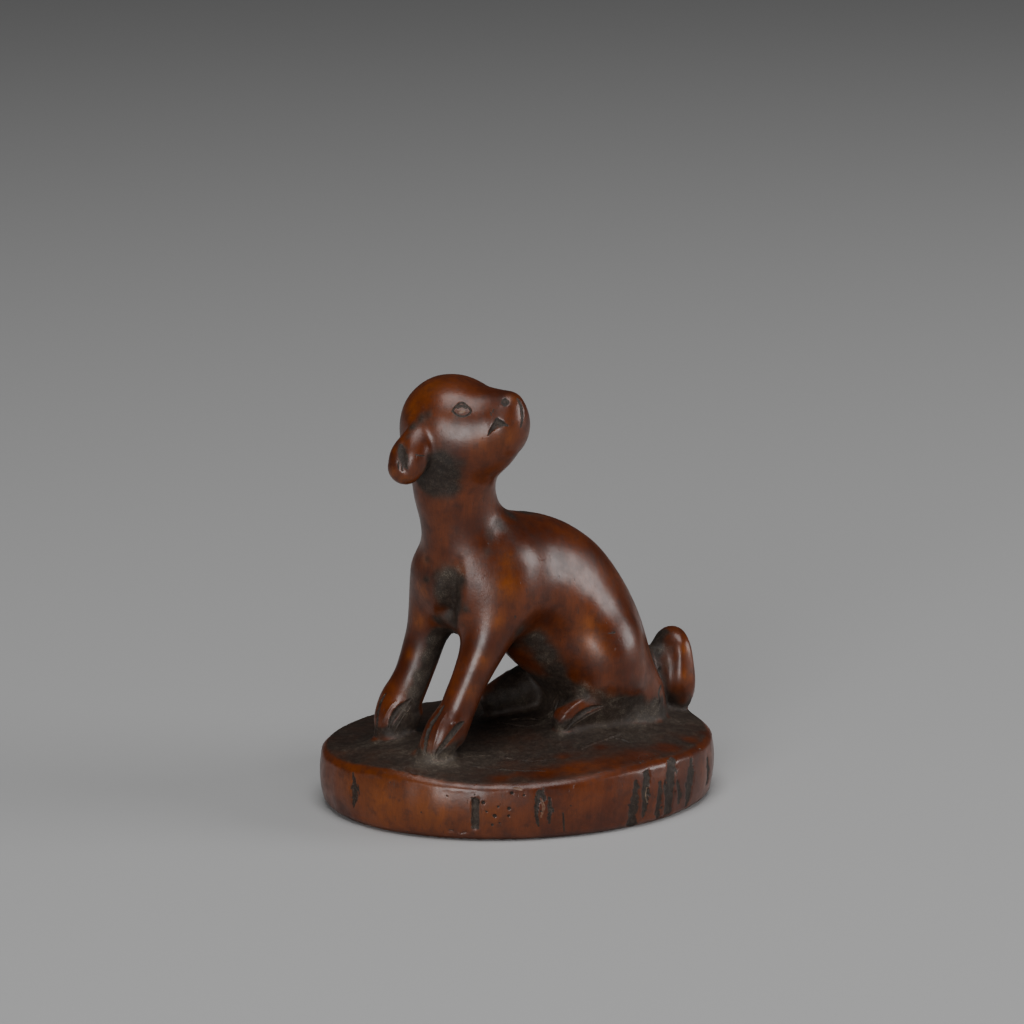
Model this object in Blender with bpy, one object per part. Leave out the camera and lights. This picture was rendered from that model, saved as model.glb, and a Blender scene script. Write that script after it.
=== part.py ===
"""A carved wooden netsuke: a young animal seated on an oval plate.

The plate keeps its own named sizes.  The animal's pose and carving are rows of
x, y, z and radius, as shares of the whole height, with z counted from the
plate's top and the body facing -Y with its left side on +X; the animal is then
turned a little on its plate and stands on the plate's top, however thick.
"""

import math

import bmesh
import bpy
import numpy as np
from mathutils import Matrix

# Named sizes, in metres
HEIGHT = 0.0445
BASE_LENGTH = 0.0406
BASE_WIDTH = 0.0326
BASE_THICK = 0.0058
RIM_ROUND = 0.0009
TURN = math.radians(16.4)

# Places and radii of the masses, as shares of the height
TORSO = (
    (0.004, -0.098, 0.419, 0.100),
    (0.002, -0.041, 0.416, 0.113),
    (0.000, 0.032, 0.403, 0.119),
    (0.000, 0.107, 0.360, 0.118),
    (0.000, 0.167, 0.293, 0.112),
    (0.000, 0.208, 0.216, 0.110),
    (0.000, 0.233, 0.141, 0.110),
)
BRISKET = (
    (-0.004, -0.135, 0.390, 0.074),
    (-0.004, -0.111, 0.350, 0.065),
)
NEAR_FLANK = (
    (0.063, -0.042, 0.378, 0.072),
    (0.056, 0.029, 0.360, 0.076),
    (0.058, 0.099, 0.318, 0.076),
)
BELLY = (
    (0.004, -0.103, 0.360, 0.081),
    (0.000, -0.008, 0.313, 0.092),
    (0.000, 0.072, 0.240, 0.097),
    (0.000, 0.145, 0.175, 0.094),
)
NECK = (
    (0.006, -0.120, 0.400, 0.100),
    (0.006, -0.131, 0.452, 0.094),
    (0.006, -0.146, 0.503, 0.090),
    (0.007, -0.162, 0.563, 0.089),
    (0.009, -0.174, 0.617, 0.092),
    (0.011, -0.177, 0.687, 0.097),
)
SNOUT = (
    (0.011, -0.180, 0.755, 0.102),
    (0.062, -0.155, 0.766, 0.082),
    (0.104, -0.134, 0.776, 0.064),
    (0.132, -0.121, 0.781, 0.055),
)
NOSE = (
    (0.100, -0.136, 0.807, 0.037),
    (0.143, -0.116, 0.817, 0.031),
)
JAW = (
    (0.021, -0.175, 0.717, 0.097),
    (0.072, -0.150, 0.729, 0.087),
    (0.116, -0.128, 0.753, 0.065),
)
NEAR_EAR = (
    (0.043, -0.284, 0.754, 0.028),
    (0.047, -0.297, 0.729, 0.038),
    (0.047, -0.311, 0.704, 0.044),
    (0.045, -0.321, 0.684, 0.039),
)
NEAR_FORELEG = (
    (0.056, -0.077, 0.435, 0.076),
    (0.074, -0.098, 0.356, 0.070),
    (0.090, -0.135, 0.284, 0.054),
    (0.094, -0.181, 0.200, 0.042),
    (0.092, -0.211, 0.137, 0.040),
    (0.088, -0.234, 0.076, 0.039),
)
NEAR_FOREPAW = (
    (0.088, -0.234, 0.103, 0.037),
    (0.088, -0.252, 0.081, 0.039),
    (0.088, -0.263, 0.058, 0.039),
    (0.085, -0.274, 0.040, 0.034),
)
FAR_FORELEG = (
    (-0.054, -0.173, 0.405, 0.061),
    (-0.072, -0.181, 0.335, 0.052),
    (-0.088, -0.190, 0.251, 0.047),
    (-0.094, -0.218, 0.167, 0.043),
    (-0.099, -0.250, 0.100, 0.047),
    (-0.101, -0.243, 0.076, 0.045),
)
FAR_FOREPAW = (
    (-0.101, -0.252, 0.106, 0.039),
    (-0.101, -0.265, 0.085, 0.040),
    (-0.101, -0.272, 0.063, 0.040),
    (-0.101, -0.276, 0.040, 0.035),
)
NEAR_HAUNCH = (
    (0.067, 0.156, 0.267, 0.076),
    (0.094, 0.168, 0.215, 0.090),
    (0.103, 0.176, 0.160, 0.085),
)
NEAR_RUMP = (
    (0.081, 0.215, 0.149, 0.070),
    (0.076, 0.246, 0.117, 0.067),
    (0.067, 0.271, 0.085, 0.066),
)
NEAR_HINDPAW = (
    (0.103, 0.171, 0.094, 0.049),
    (0.106, 0.106, 0.083, 0.036),
    (0.103, 0.061, 0.067, 0.027),
)
FAR_HINDPAW = (
    (-0.103, 0.135, 0.090, 0.058),
    (-0.112, 0.058, 0.076, 0.047),
    (-0.117, 0.013, 0.065, 0.037),
)
SKULL = (0.011, -0.180, 0.753, 0.111)
SEAT = (0.004, 0.229, 0.040)
SEAT_RADII = (0.139, 0.144, 0.090)
TAIL_ROOT = (0.011, 0.366, 0.095)
ROOT_RADII = (0.043, 0.052, 0.076)
TAIL_CENTRE = (0.016, 0.412, 0.108)
TAIL_RADII = (0.074, 0.052, 0.101)
TAIL_FACES = (
    ((0.26, 0.96, 0.10), 0.036),
    ((0.486, -0.834, 0.213), 0.053),
    ((0.964, -0.013, 0.206), 0.067),
)

# Cuts between the toes, in the ears and at the mouth
NEAR_FORE_CUTS = (
    (
        (0.0961, -0.2543, 0.1396, 0.0027),
        (0.0945, -0.2742, 0.1145, 0.0081),
        (0.0872, -0.2986, 0.0748, 0.0072),
        (0.0897, -0.3080, 0.0468, 0.0022),
    ),
    (
        (0.1318, -0.2267, 0.1094, 0.0076),
        (0.1310, -0.2575, 0.0816, 0.0094),
        (0.1240, -0.2845, 0.0517, 0.0063),
        (0.1144, -0.2996, 0.0308, 0.0022),
    ),
)
FAR_FORE_CUTS = (
    (
        (-0.0852, -0.2918, 0.1217, 0.0027),
        (-0.0913, -0.3041, 0.0963, 0.0067),
        (-0.0933, -0.3109, 0.0687, 0.0067),
        (-0.0924, -0.3117, 0.0386, 0.0022),
    ),
    (
        (-0.0528, -0.2561, 0.1195, 0.0045),
        (-0.0578, -0.2795, 0.0938, 0.0108),
        (-0.0631, -0.2922, 0.0687, 0.0085),
        (-0.0690, -0.2993, 0.0472, 0.0022),
    ),
)
HIND_CUTS = (
    (
        (0.0568, 0.0930, 0.0999, 0.0027),
        (0.0253, 0.0890, 0.0668, 0.0063),
        (0.0288, 0.0653, 0.0429, 0.0027),
    ),
    (
        (0.1474, 0.1208, 0.0944, 0.0045),
        (0.1379, 0.0841, 0.0789, 0.0094),
        (0.1262, 0.0569, 0.0497, 0.0027),
    ),
)
EAR_HOLLOW = (
    (0.0612, -0.3372, 0.7264, 0.0056),
    (0.0611, -0.3478, 0.6975, 0.0124),
    (0.0672, -0.3433, 0.6701, 0.0067),
)
MOUTH_CUT = (
    (0.1622, -0.1818, 0.7558, 0.0022),
    (0.1730, -0.1652, 0.7873, 0.0067),
    (0.1840, -0.1438, 0.7958, 0.0067),
)
HIND_STEP = -0.045

# Directions: across the body, to the right of the head, out of each ear
ACROSS = (1.0, 0.0, 0.0)
RIGHT = (0.438, -0.899, 0.0)
EAR_FACE = (0.661, -0.721, 0.210)
FAR_EAR_FACE = (-0.160, 0.964, 0.210)

# Width of flattened masses along those directions
TRUNK_SPREAD = 0.97
PAW_SPREAD = 1.1
EAR_SPREAD = 0.75

# Softness of the valleys between the masses, as shares of the height
SOFT_TRUNK = 0.045
SOFT_NECK = 0.080
SOFT_HEAD = 0.034
SOFT_NOSE = 0.027
SOFT_SEAT = 0.040
SOFT_HAUNCH = 0.060
SOFT_RUMP = 0.030
SOFT_SHOULDER = 0.055
SOFT_EAR = 0.012
SOFT_PAW = 0.012
SOFT_HIND = 0.020
SOFT_TAIL = 0.022
SOFT_FACET = 0.008
SOFT_GROUND = 0.030
SOFT_CUT = 0.004

# Steps of the mesh, as shares of the height
COARSE_STEP = 0.013
FINE_STEP = 0.009
PROBE_STEP = 0.0008
FLAT_REACH = 0.0015
FACE_COUNT = 8000

# Balls between two rows of a sweep, and how far out its distance is worked out
SWEEP_STEPS = 9
SWEEP_REACH = 0.13


def blend_min(a, b, reach):
    """Union of two distances with a soft valley, a quarter of reach deep."""
    wide = 1.5 * reach
    h = np.maximum(wide - np.abs(a - b), 0.0) / wide
    return np.minimum(a, b) - h ** 3 * 0.25 * reach


def blend_max(a, b, reach):
    """Shared part of two distances with a soft crest of the given reach."""
    return -blend_min(-a, -b, reach)


def curve_through(rows, steps):
    """Smooth curve through every row, all columns together."""
    rows = np.asarray(rows, float)
    ends = np.vstack([2 * rows[0] - rows[1], rows, 2 * rows[-1] - rows[-2]])
    t = (np.arange(steps) / steps)[:, None]
    out = []
    for i in range(len(rows) - 1):
        a, b, c, d = ends[i:i + 4]
        bend = 2 * a - 5 * b + 4 * c - d
        twist = 3 * b - a - 3 * c + d
        out.append(0.5 * (2 * b + (c - a) * t + bend * t ** 2 + twist * t ** 3))
    out.append(rows[-1:])
    return np.vstack(out)


def swept(p, rows, across=None, widen=1.0):
    """Distance to a ball swept along rows of x, y, z and radius.

    The ball is stretched by the factor widen along the unit vector across.
    """
    c = curve_through(rows, SWEEP_STEPS)
    big = c[:, 3:] * max(widen, 1.0)
    low = (c[:, :3] - big).min(0) - SWEEP_REACH
    high = (c[:, :3] + big).max(0) + SWEEP_REACH
    beyond = np.maximum(low - p, p - high).max(1)
    out = np.maximum(beyond, 0.0) + SWEEP_REACH
    near = np.nonzero(beyond < 0)[0]
    if len(near) == 0:
        return out
    v = p[near][:, None, :] - c[None, :, :3]
    d2 = (v * v).sum(2)
    if across is not None:
        d2 = d2 + (v @ np.asarray(across)) ** 2 * (1.0 / widen ** 2 - 1.0)
    f = np.sqrt(np.maximum(d2, 1e-12)) - c[None, :, 3]
    i = np.clip(f.argmin(1), 1, len(c) - 2)
    k = np.arange(len(near))
    before, here, after = f[k, i - 1], f[k, i], f[k, i + 1]
    slope = 0.5 * (before - after)
    curl = np.maximum(before - 2 * here + after, 1e-9)
    t = np.clip(slope / curl, -1.0, 1.0)
    out[near] = here - slope * t + 0.5 * curl * t * t
    return out


def egg(p, centre, radii):
    """Distance to an egg with three radii along the axes."""
    v = p - np.asarray(centre)
    r = np.asarray(radii)
    k0 = np.sqrt(((v / r) ** 2).sum(1))
    k1 = np.sqrt(((v / (r * r)) ** 2).sum(1))
    return k0 * (k0 - 1.0) / np.maximum(k1, 1e-6)


def ground(x, y):
    """Height of the ground over the top of the plate, as a share."""
    haunches = 0.046 * np.exp(-((x + 0.03) / 0.25) ** 2 - ((y - 0.14) / 0.25) ** 2)
    feet = 0.026 * np.exp(-((x - 0.06) / 0.17) ** 2 - ((y + 0.26) / 0.12) ** 2)
    breast = 0.010 * np.exp(-((x - 0.20) / 0.10) ** 2 - ((y + 0.36) / 0.10) ** 2)
    flank = 0.010 * np.exp(-((x - 0.30) / 0.12) ** 2 - ((y - 0.17) / 0.16) ** 2)
    return haunches + feet + breast + flank


def plate(p):
    """Oval plate with a swelling side, a round rim and a mound on top."""
    x, y, z = p.T
    half_x = 0.5 * BASE_WIDTH / HEIGHT
    half_y = 0.5 * BASE_LENGTH / HEIGHT
    thick = BASE_THICK / HEIGHT
    rim = RIM_ROUND / HEIGHT
    k = np.hypot(x / half_x, y / half_y)
    side = np.hypot(x, y) * (k - 1.0) / np.maximum(k, 1e-3)
    lean = 2.0 * z / thick - 1.0
    side = side + 0.010 * lean ** 2 - 0.004 * lean + rim
    top = np.maximum(z - thick - ground(x, y), -z) + rim
    outside = np.hypot(np.maximum(side, 0.0), np.maximum(top, 0.0))
    return outside + np.minimum(np.maximum(side, top), 0.0) - rim


def other_side(rows):
    """The same rows on the far side of the head."""
    rows = np.array(rows, float)
    side = (rows[:, :3] - SKULL[:3]) @ RIGHT
    rows[:, :3] -= 2.0 * side[:, None] * np.array(RIGHT)
    return rows


def flipped(rows):
    """The same rows on the far side of the body."""
    return np.array(rows, float) * ([-1.0] + [1.0] * (len(rows[0]) - 1))


def stepped(rows):
    """The same rows a little further forward."""
    return np.array(rows, float) + ([0.0, HIND_STEP] + [0.0] * (len(rows[0]) - 2))


def carving(d, p):
    """Take the toe cuts, the ear hollows and the mouth out of the form."""
    cuts = [*NEAR_FORE_CUTS, *FAR_FORE_CUTS, *HIND_CUTS]
    cuts += [stepped(flipped(rows)) for rows in HIND_CUTS]
    cuts += [EAR_HOLLOW, other_side(EAR_HOLLOW), MOUTH_CUT, other_side(MOUTH_CUT)]
    for rows in cuts:
        d = blend_max(d, -swept(p, rows), SOFT_CUT)
    return d


def trunk(p):
    """Chest, belly, flanks, seat and hindquarters."""
    d = swept(p, TORSO, ACROSS, TRUNK_SPREAD)
    d = blend_min(d, swept(p, BRISKET), SOFT_HEAD)
    for rows in (BELLY, NEAR_FLANK, flipped(NEAR_FLANK)):
        d = blend_min(d, swept(p, rows), SOFT_TRUNK)
    d = blend_min(d, swept(p, NECK), SOFT_NECK)
    d = blend_min(d, head(p), SOFT_HEAD)
    d = blend_min(d, egg(p, SEAT, SEAT_RADII), SOFT_SEAT)
    for rows in (NEAR_HAUNCH, flipped(NEAR_HAUNCH)):
        d = blend_min(d, swept(p, rows), SOFT_HAUNCH)
    for rows in (NEAR_RUMP, flipped(NEAR_RUMP)):
        d = blend_min(d, swept(p, rows), SOFT_RUMP)
    return d


def head(p):
    """Skull, muzzle, nose and jaw."""
    d = egg(p, SKULL[:3], (SKULL[3],) * 3)
    d = blend_min(d, swept(p, SNOUT), SOFT_HEAD)
    d = blend_min(d, swept(p, NOSE), SOFT_NOSE)
    return blend_min(d, swept(p, JAW), SOFT_HEAD)


def tail(p):
    """Short thick tail with three flat cuts, on its root."""
    d = egg(p, TAIL_CENTRE, TAIL_RADII)
    for face, reach in TAIL_FACES:
        d = blend_max(d, (p - TAIL_CENTRE) @ face - reach, SOFT_FACET)
    return blend_min(d, egg(p, TAIL_ROOT, ROOT_RADII), SOFT_HIND)


def figure(p):
    """The animal alone, in its own frame."""
    d = trunk(p)
    d = blend_min(d, swept(p, NEAR_EAR, EAR_FACE, EAR_SPREAD), SOFT_EAR)
    d = blend_min(d, swept(p, other_side(NEAR_EAR), FAR_EAR_FACE, EAR_SPREAD), SOFT_EAR)
    for rows in (NEAR_FORELEG, FAR_FORELEG):
        d = blend_min(d, swept(p, rows), SOFT_SHOULDER)
    for rows in (NEAR_FOREPAW, FAR_FOREPAW):
        d = blend_min(d, swept(p, rows, ACROSS, PAW_SPREAD), SOFT_PAW)
    for rows in (NEAR_HINDPAW, FAR_HINDPAW):
        d = blend_min(d, swept(p, rows), SOFT_HIND)
    return blend_min(d, tail(p), SOFT_TAIL)


def whole(p):
    """The animal and its plate in one piece."""
    x, y, z = p.T
    c, s = math.cos(TURN), math.sin(TURN)
    own = np.column_stack([c * x + s * y, c * y - s * x, z - BASE_THICK / HEIGHT])
    return carving(blend_min(figure(own), plate(p), SOFT_GROUND), own)


STATIONS = (
    TORSO, BRISKET, BELLY, NEAR_FLANK, flipped(NEAR_FLANK), NECK, SNOUT, NOSE, JAW,
    NEAR_EAR, other_side(NEAR_EAR), NEAR_FORELEG, NEAR_FOREPAW, FAR_FORELEG, FAR_FOREPAW,
    NEAR_HAUNCH, flipped(NEAR_HAUNCH), NEAR_RUMP, flipped(NEAR_RUMP),
    NEAR_HINDPAW, FAR_HINDPAW,
)
EGGS = (
    (SKULL[:3], (SKULL[3],) * 3),
    (SEAT, SEAT_RADII),
    (TAIL_ROOT, ROOT_RADII),
    (TAIL_CENTRE, TAIL_RADII),
)


def rough_block():
    """Blanks: balls along every limb, eggs for the rounder masses, the plate."""
    bm = bmesh.new()
    thick = BASE_THICK / HEIGHT
    turn = Matrix.Translation((0.0, 0.0, thick)) @ Matrix.Rotation(TURN, 4, "Z")
    for rows in STATIONS:
        for x, y, z, r in curve_through(rows, 3):
            at = turn @ Matrix.Translation((x, y, z))
            bmesh.ops.create_icosphere(bm, subdivisions=2, radius=r, matrix=at)
    for centre, radii in EGGS:
        at = turn @ Matrix.Translation(centre) @ Matrix.Diagonal((*radii, 1.0))
        bmesh.ops.create_icosphere(bm, subdivisions=3, radius=1.0, matrix=at)
    spread = Matrix.Diagonal((BASE_WIDTH / HEIGHT, BASE_LENGTH / HEIGHT, 1.0, 1.0))
    at = Matrix.Translation((0.0, 0.0, 0.5 * thick)) @ spread
    bmesh.ops.create_cone(
        bm, cap_ends=True, segments=96, radius1=0.5, radius2=0.5, depth=thick, matrix=at
    )
    mesh = bpy.data.meshes.new("rough block")
    bm.to_mesh(mesh)
    bm.free()
    return mesh


def worked(mesh, kind, **settings):
    """The mesh after one modifier of that kind."""
    held = bpy.data.objects.new("work", mesh)
    bpy.context.scene.collection.objects.link(held)
    step = held.modifiers.new(kind.title(), kind)
    for name, value in settings.items():
        setattr(step, name, value)
    seen = held.evaluated_get(bpy.context.evaluated_depsgraph_get())
    result = bpy.data.meshes.new_from_object(seen)
    bpy.data.objects.remove(held)
    return result


def settle(mesh, rounds):
    """Move every vertex onto the form along its slope."""
    p = np.empty(3 * len(mesh.vertices))
    mesh.vertices.foreach_get("co", p)
    p = p.reshape(-1, 3)
    for _ in range(rounds):
        here = whole(p)
        slope = np.column_stack([whole(p + PROBE_STEP * axis) - here for axis in np.eye(3)])
        slope /= PROBE_STEP
        steep = np.maximum((slope * slope).sum(1), 0.25)
        p -= (np.clip(here, -0.03, 0.03) / steep)[:, None] * slope
    p[:, 2] = np.maximum(p[:, 2], 0.0)
    p[p[:, 2] < FLAT_REACH, 2] = 0.0
    mesh.vertices.foreach_set("co", p.ravel())
    mesh.update()
    return mesh


def wood():
    """Dark red-brown stained and polished wood."""
    material = bpy.data.materials.new("stained wood")
    material.use_nodes = True
    shader = material.node_tree.nodes["Principled BSDF"]
    shader.inputs["Base Color"].default_value = (0.16, 0.045, 0.018, 1.0)
    shader.inputs["Roughness"].default_value = 0.32
    shader.inputs["Metallic"].default_value = 0.0
    return material


def main():
    for held in list(bpy.data.objects):
        bpy.data.objects.remove(held)
    mesh = worked(rough_block(), "REMESH", mode="VOXEL", voxel_size=COARSE_STEP)
    mesh = settle(mesh, 4)
    mesh = worked(mesh, "REMESH", mode="VOXEL", voxel_size=FINE_STEP)
    for _ in range(3):
        mesh = settle(mesh, 2)
        mesh = worked(mesh, "SMOOTH", factor=0.5, iterations=2)
    mesh = settle(mesh, 1)
    share = FACE_COUNT / (2.0 * len(mesh.polygons))
    mesh = worked(mesh, "DECIMATE", ratio=share, use_collapse_triangulate=True)
    mesh.transform(Matrix.Scale(HEIGHT, 4))
    for polygon in mesh.polygons:
        polygon.use_smooth = True
    mesh.materials.clear()
    mesh.materials.append(wood())
    mesh.name = "netsuke"
    carved = bpy.data.objects.new("netsuke", mesh)
    bpy.context.scene.collection.objects.link(carved)


main()
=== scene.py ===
"""A carved wooden netsuke: a young animal seated on an oval plate.

The form is worked out in shares of the whole height, with z counted from the
plate's top and the body facing -Y with its left side on +X.  Marks that show
on the near side are placed by where the camera sees them and laid on the
carved surface.
"""

import math

import bmesh
import bpy
import numpy as np
from mathutils import Matrix, Vector
from mathutils.bvhtree import BVHTree


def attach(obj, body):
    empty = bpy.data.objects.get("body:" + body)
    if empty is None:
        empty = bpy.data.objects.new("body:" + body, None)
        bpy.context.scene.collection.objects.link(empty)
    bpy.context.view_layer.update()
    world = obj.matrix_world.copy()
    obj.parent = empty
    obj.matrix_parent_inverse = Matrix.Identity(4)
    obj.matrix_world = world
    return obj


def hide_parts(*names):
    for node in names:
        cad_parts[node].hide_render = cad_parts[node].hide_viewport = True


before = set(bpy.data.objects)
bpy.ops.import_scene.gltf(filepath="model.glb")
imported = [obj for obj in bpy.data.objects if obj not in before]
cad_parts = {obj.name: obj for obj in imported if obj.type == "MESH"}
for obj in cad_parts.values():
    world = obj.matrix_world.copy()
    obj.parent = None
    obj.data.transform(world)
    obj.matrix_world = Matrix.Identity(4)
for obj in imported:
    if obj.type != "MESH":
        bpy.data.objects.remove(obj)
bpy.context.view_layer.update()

# Named sizes of the carving, in metres
HEIGHT = 0.0445
BASE_LENGTH = 0.0406
BASE_WIDTH = 0.0326
BASE_THICK = 0.0058
RIM_ROUND = 0.0009
TURN = math.radians(16.4)

# Camera: the photograph's angle and framing
IMAGE = 1024
LENS = 175.8
SENSOR = 36.0
AZIMUTH = math.radians(74.4)
ELEVATION = math.radians(14.0)
DISTANCE = 0.5
AIM_HEIGHT = 0.0294
AIM_SHIFT = -0.0006
PIXEL = 0.0001 / HEIGHT

# Marks: the flat share of each profile, and the step back that ends a mark
FLAT_SHARE = {"cut": 0.0, "ridge": 0.0, "slot": 0.5, "scar": 0.55}
STEP_BACK = 0.05

# Places and radii of the masses, as shares of the height
TORSO = (
    (0.004, -0.098, 0.419, 0.100),
    (0.002, -0.041, 0.416, 0.113),
    (0.000, 0.032, 0.403, 0.119),
    (0.000, 0.107, 0.360, 0.118),
    (0.000, 0.167, 0.293, 0.112),
    (0.000, 0.208, 0.216, 0.110),
    (0.000, 0.233, 0.141, 0.110),
)
BRISKET = (
    (-0.004, -0.135, 0.390, 0.074),
    (-0.004, -0.111, 0.350, 0.065),
)
NEAR_FLANK = (
    (0.063, -0.042, 0.378, 0.072),
    (0.056, 0.029, 0.360, 0.076),
    (0.058, 0.099, 0.318, 0.076),
)
BELLY = (
    (0.004, -0.103, 0.360, 0.081),
    (0.000, -0.008, 0.313, 0.092),
    (0.000, 0.072, 0.240, 0.097),
    (0.000, 0.145, 0.175, 0.094),
)
NECK = (
    (0.006, -0.120, 0.400, 0.100),
    (0.006, -0.131, 0.452, 0.094),
    (0.006, -0.146, 0.503, 0.090),
    (0.007, -0.162, 0.563, 0.089),
    (0.009, -0.174, 0.617, 0.092),
    (0.011, -0.177, 0.687, 0.097),
)
SNOUT = (
    (0.011, -0.180, 0.755, 0.102),
    (0.062, -0.155, 0.766, 0.082),
    (0.104, -0.134, 0.776, 0.064),
    (0.132, -0.121, 0.781, 0.055),
)
NOSE = (
    (0.100, -0.136, 0.807, 0.037),
    (0.143, -0.116, 0.817, 0.031),
)
JAW = (
    (0.021, -0.175, 0.717, 0.097),
    (0.072, -0.150, 0.729, 0.087),
    (0.116, -0.128, 0.753, 0.065),
)
NEAR_EAR = (
    (0.043, -0.284, 0.754, 0.028),
    (0.047, -0.297, 0.729, 0.038),
    (0.047, -0.311, 0.704, 0.044),
    (0.045, -0.321, 0.684, 0.039),
)
NEAR_FORELEG = (
    (0.056, -0.077, 0.435, 0.076),
    (0.074, -0.098, 0.356, 0.070),
    (0.090, -0.135, 0.284, 0.054),
    (0.094, -0.181, 0.200, 0.042),
    (0.092, -0.211, 0.137, 0.040),
    (0.088, -0.234, 0.076, 0.039),
)
NEAR_FOREPAW = (
    (0.088, -0.234, 0.103, 0.037),
    (0.088, -0.252, 0.081, 0.039),
    (0.088, -0.263, 0.058, 0.039),
    (0.085, -0.274, 0.040, 0.034),
)
FAR_FORELEG = (
    (-0.054, -0.173, 0.405, 0.061),
    (-0.072, -0.181, 0.335, 0.052),
    (-0.088, -0.190, 0.251, 0.047),
    (-0.094, -0.218, 0.167, 0.043),
    (-0.099, -0.250, 0.100, 0.047),
    (-0.101, -0.243, 0.076, 0.045),
)
FAR_FOREPAW = (
    (-0.101, -0.252, 0.106, 0.039),
    (-0.101, -0.265, 0.085, 0.040),
    (-0.101, -0.272, 0.063, 0.040),
    (-0.101, -0.276, 0.040, 0.035),
)
NEAR_HAUNCH = (
    (0.067, 0.156, 0.267, 0.076),
    (0.094, 0.168, 0.215, 0.090),
    (0.103, 0.176, 0.160, 0.085),
)
NEAR_RUMP = (
    (0.081, 0.215, 0.149, 0.070),
    (0.076, 0.246, 0.117, 0.067),
    (0.067, 0.271, 0.085, 0.066),
)
NEAR_HINDPAW = (
    (0.103, 0.171, 0.094, 0.049),
    (0.106, 0.106, 0.083, 0.036),
    (0.103, 0.061, 0.067, 0.027),
)
FAR_HINDPAW = (
    (-0.103, 0.135, 0.090, 0.058),
    (-0.112, 0.058, 0.076, 0.047),
    (-0.117, 0.013, 0.065, 0.037),
)
SKULL = (0.011, -0.180, 0.753, 0.111)
SEAT = (0.004, 0.229, 0.040)
SEAT_RADII = (0.139, 0.144, 0.090)
TAIL_ROOT = (0.011, 0.366, 0.095)
ROOT_RADII = (0.043, 0.052, 0.076)
TAIL_CENTRE = (0.016, 0.412, 0.108)
TAIL_RADII = (0.074, 0.052, 0.101)
TAIL_FACES = (
    ((0.26, 0.96, 0.10), 0.036),
    ((0.486, -0.834, 0.213), 0.053),
    ((0.964, -0.013, 0.206), 0.067),
)
HIND_STEP = -0.045

# Low mounds of the ground: height, middle and spread
MOUNDS = (
    (0.046, -0.03, 0.14, 0.25, 0.25),
    (0.026, 0.06, -0.26, 0.17, 0.12),
    (0.010, 0.20, -0.36, 0.10, 0.10),
    (0.010, 0.30, 0.17, 0.12, 0.16),
)

# Directions: across the body, to the right of the head, out of each ear
ACROSS = (1.0, 0.0, 0.0)
RIGHT = (0.438, -0.899, 0.0)
EAR_FACE = (0.661, -0.721, 0.210)
FAR_EAR_FACE = (-0.160, 0.964, 0.210)

# Width of flattened masses along those directions
TRUNK_SPREAD = 0.97
PAW_SPREAD = 1.1
EAR_SPREAD = 0.75

# Softness of the valleys between the masses, as shares of the height
SOFT_TRUNK = 0.045
SOFT_NECK = 0.080
SOFT_HEAD = 0.034
SOFT_NOSE = 0.027
SOFT_SEAT = 0.040
SOFT_HAUNCH = 0.060
SOFT_RUMP = 0.030
SOFT_SHOULDER = 0.055
SOFT_EAR = 0.012
SOFT_PAW = 0.012
SOFT_HIND = 0.020
SOFT_TAIL = 0.022
SOFT_FACET = 0.008
SOFT_GROUND = 0.030
SOFT_CUT = 0.004

# Steps of the mesh, as shares of the height
COARSE_STEP = 0.013
FINE_STEP = 0.0143
PROBE_STEP = 0.0008
FLAT_REACH = 0.0015

# Reach and share of each search for hollows, whose occlusion darkens the soil mask,
# partly as dirt and partly as painted shade, and the reach for worn edges
HOLLOWS = ((0.030, 0.5), (0.090, 0.9))
EDGE_REACH = 0.018

# Depth of the unevenness of the hand work, the plate's side and the rough soil
HAND_DEPTH = 0.00045
SIDE_DEPTH = 0.0010
ROUGH_DEPTH = 0.0007
FINE_DEPTH = 0.0004

# Balls between two rows of a sweep, and how far out its distance is worked out
SWEEP_STEPS = 9
SWEEP_REACH = 0.13


def blend_min(a, b, reach):
    """Union of two distances with a soft valley, a quarter of reach deep."""
    wide = 1.5 * reach
    h = np.maximum(wide - np.abs(a - b), 0.0) / wide
    return np.minimum(a, b) - h ** 3 * 0.25 * reach


def blend_max(a, b, reach):
    """Shared part of two distances with a soft crest of the given reach."""
    return -blend_min(-a, -b, reach)


def curve_through(rows, steps):
    """Smooth curve through every row, all columns together."""
    rows = np.asarray(rows, float)
    ends = np.vstack([2 * rows[0] - rows[1], rows, 2 * rows[-1] - rows[-2]])
    t = (np.arange(steps) / steps)[:, None]
    out = []
    for i in range(len(rows) - 1):
        a, b, c, d = ends[i:i + 4]
        bend = 2 * a - 5 * b + 4 * c - d
        twist = 3 * b - a - 3 * c + d
        out.append(0.5 * (2 * b + (c - a) * t + bend * t ** 2 + twist * t ** 3))
    out.append(rows[-1:])
    return np.vstack(out)


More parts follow.
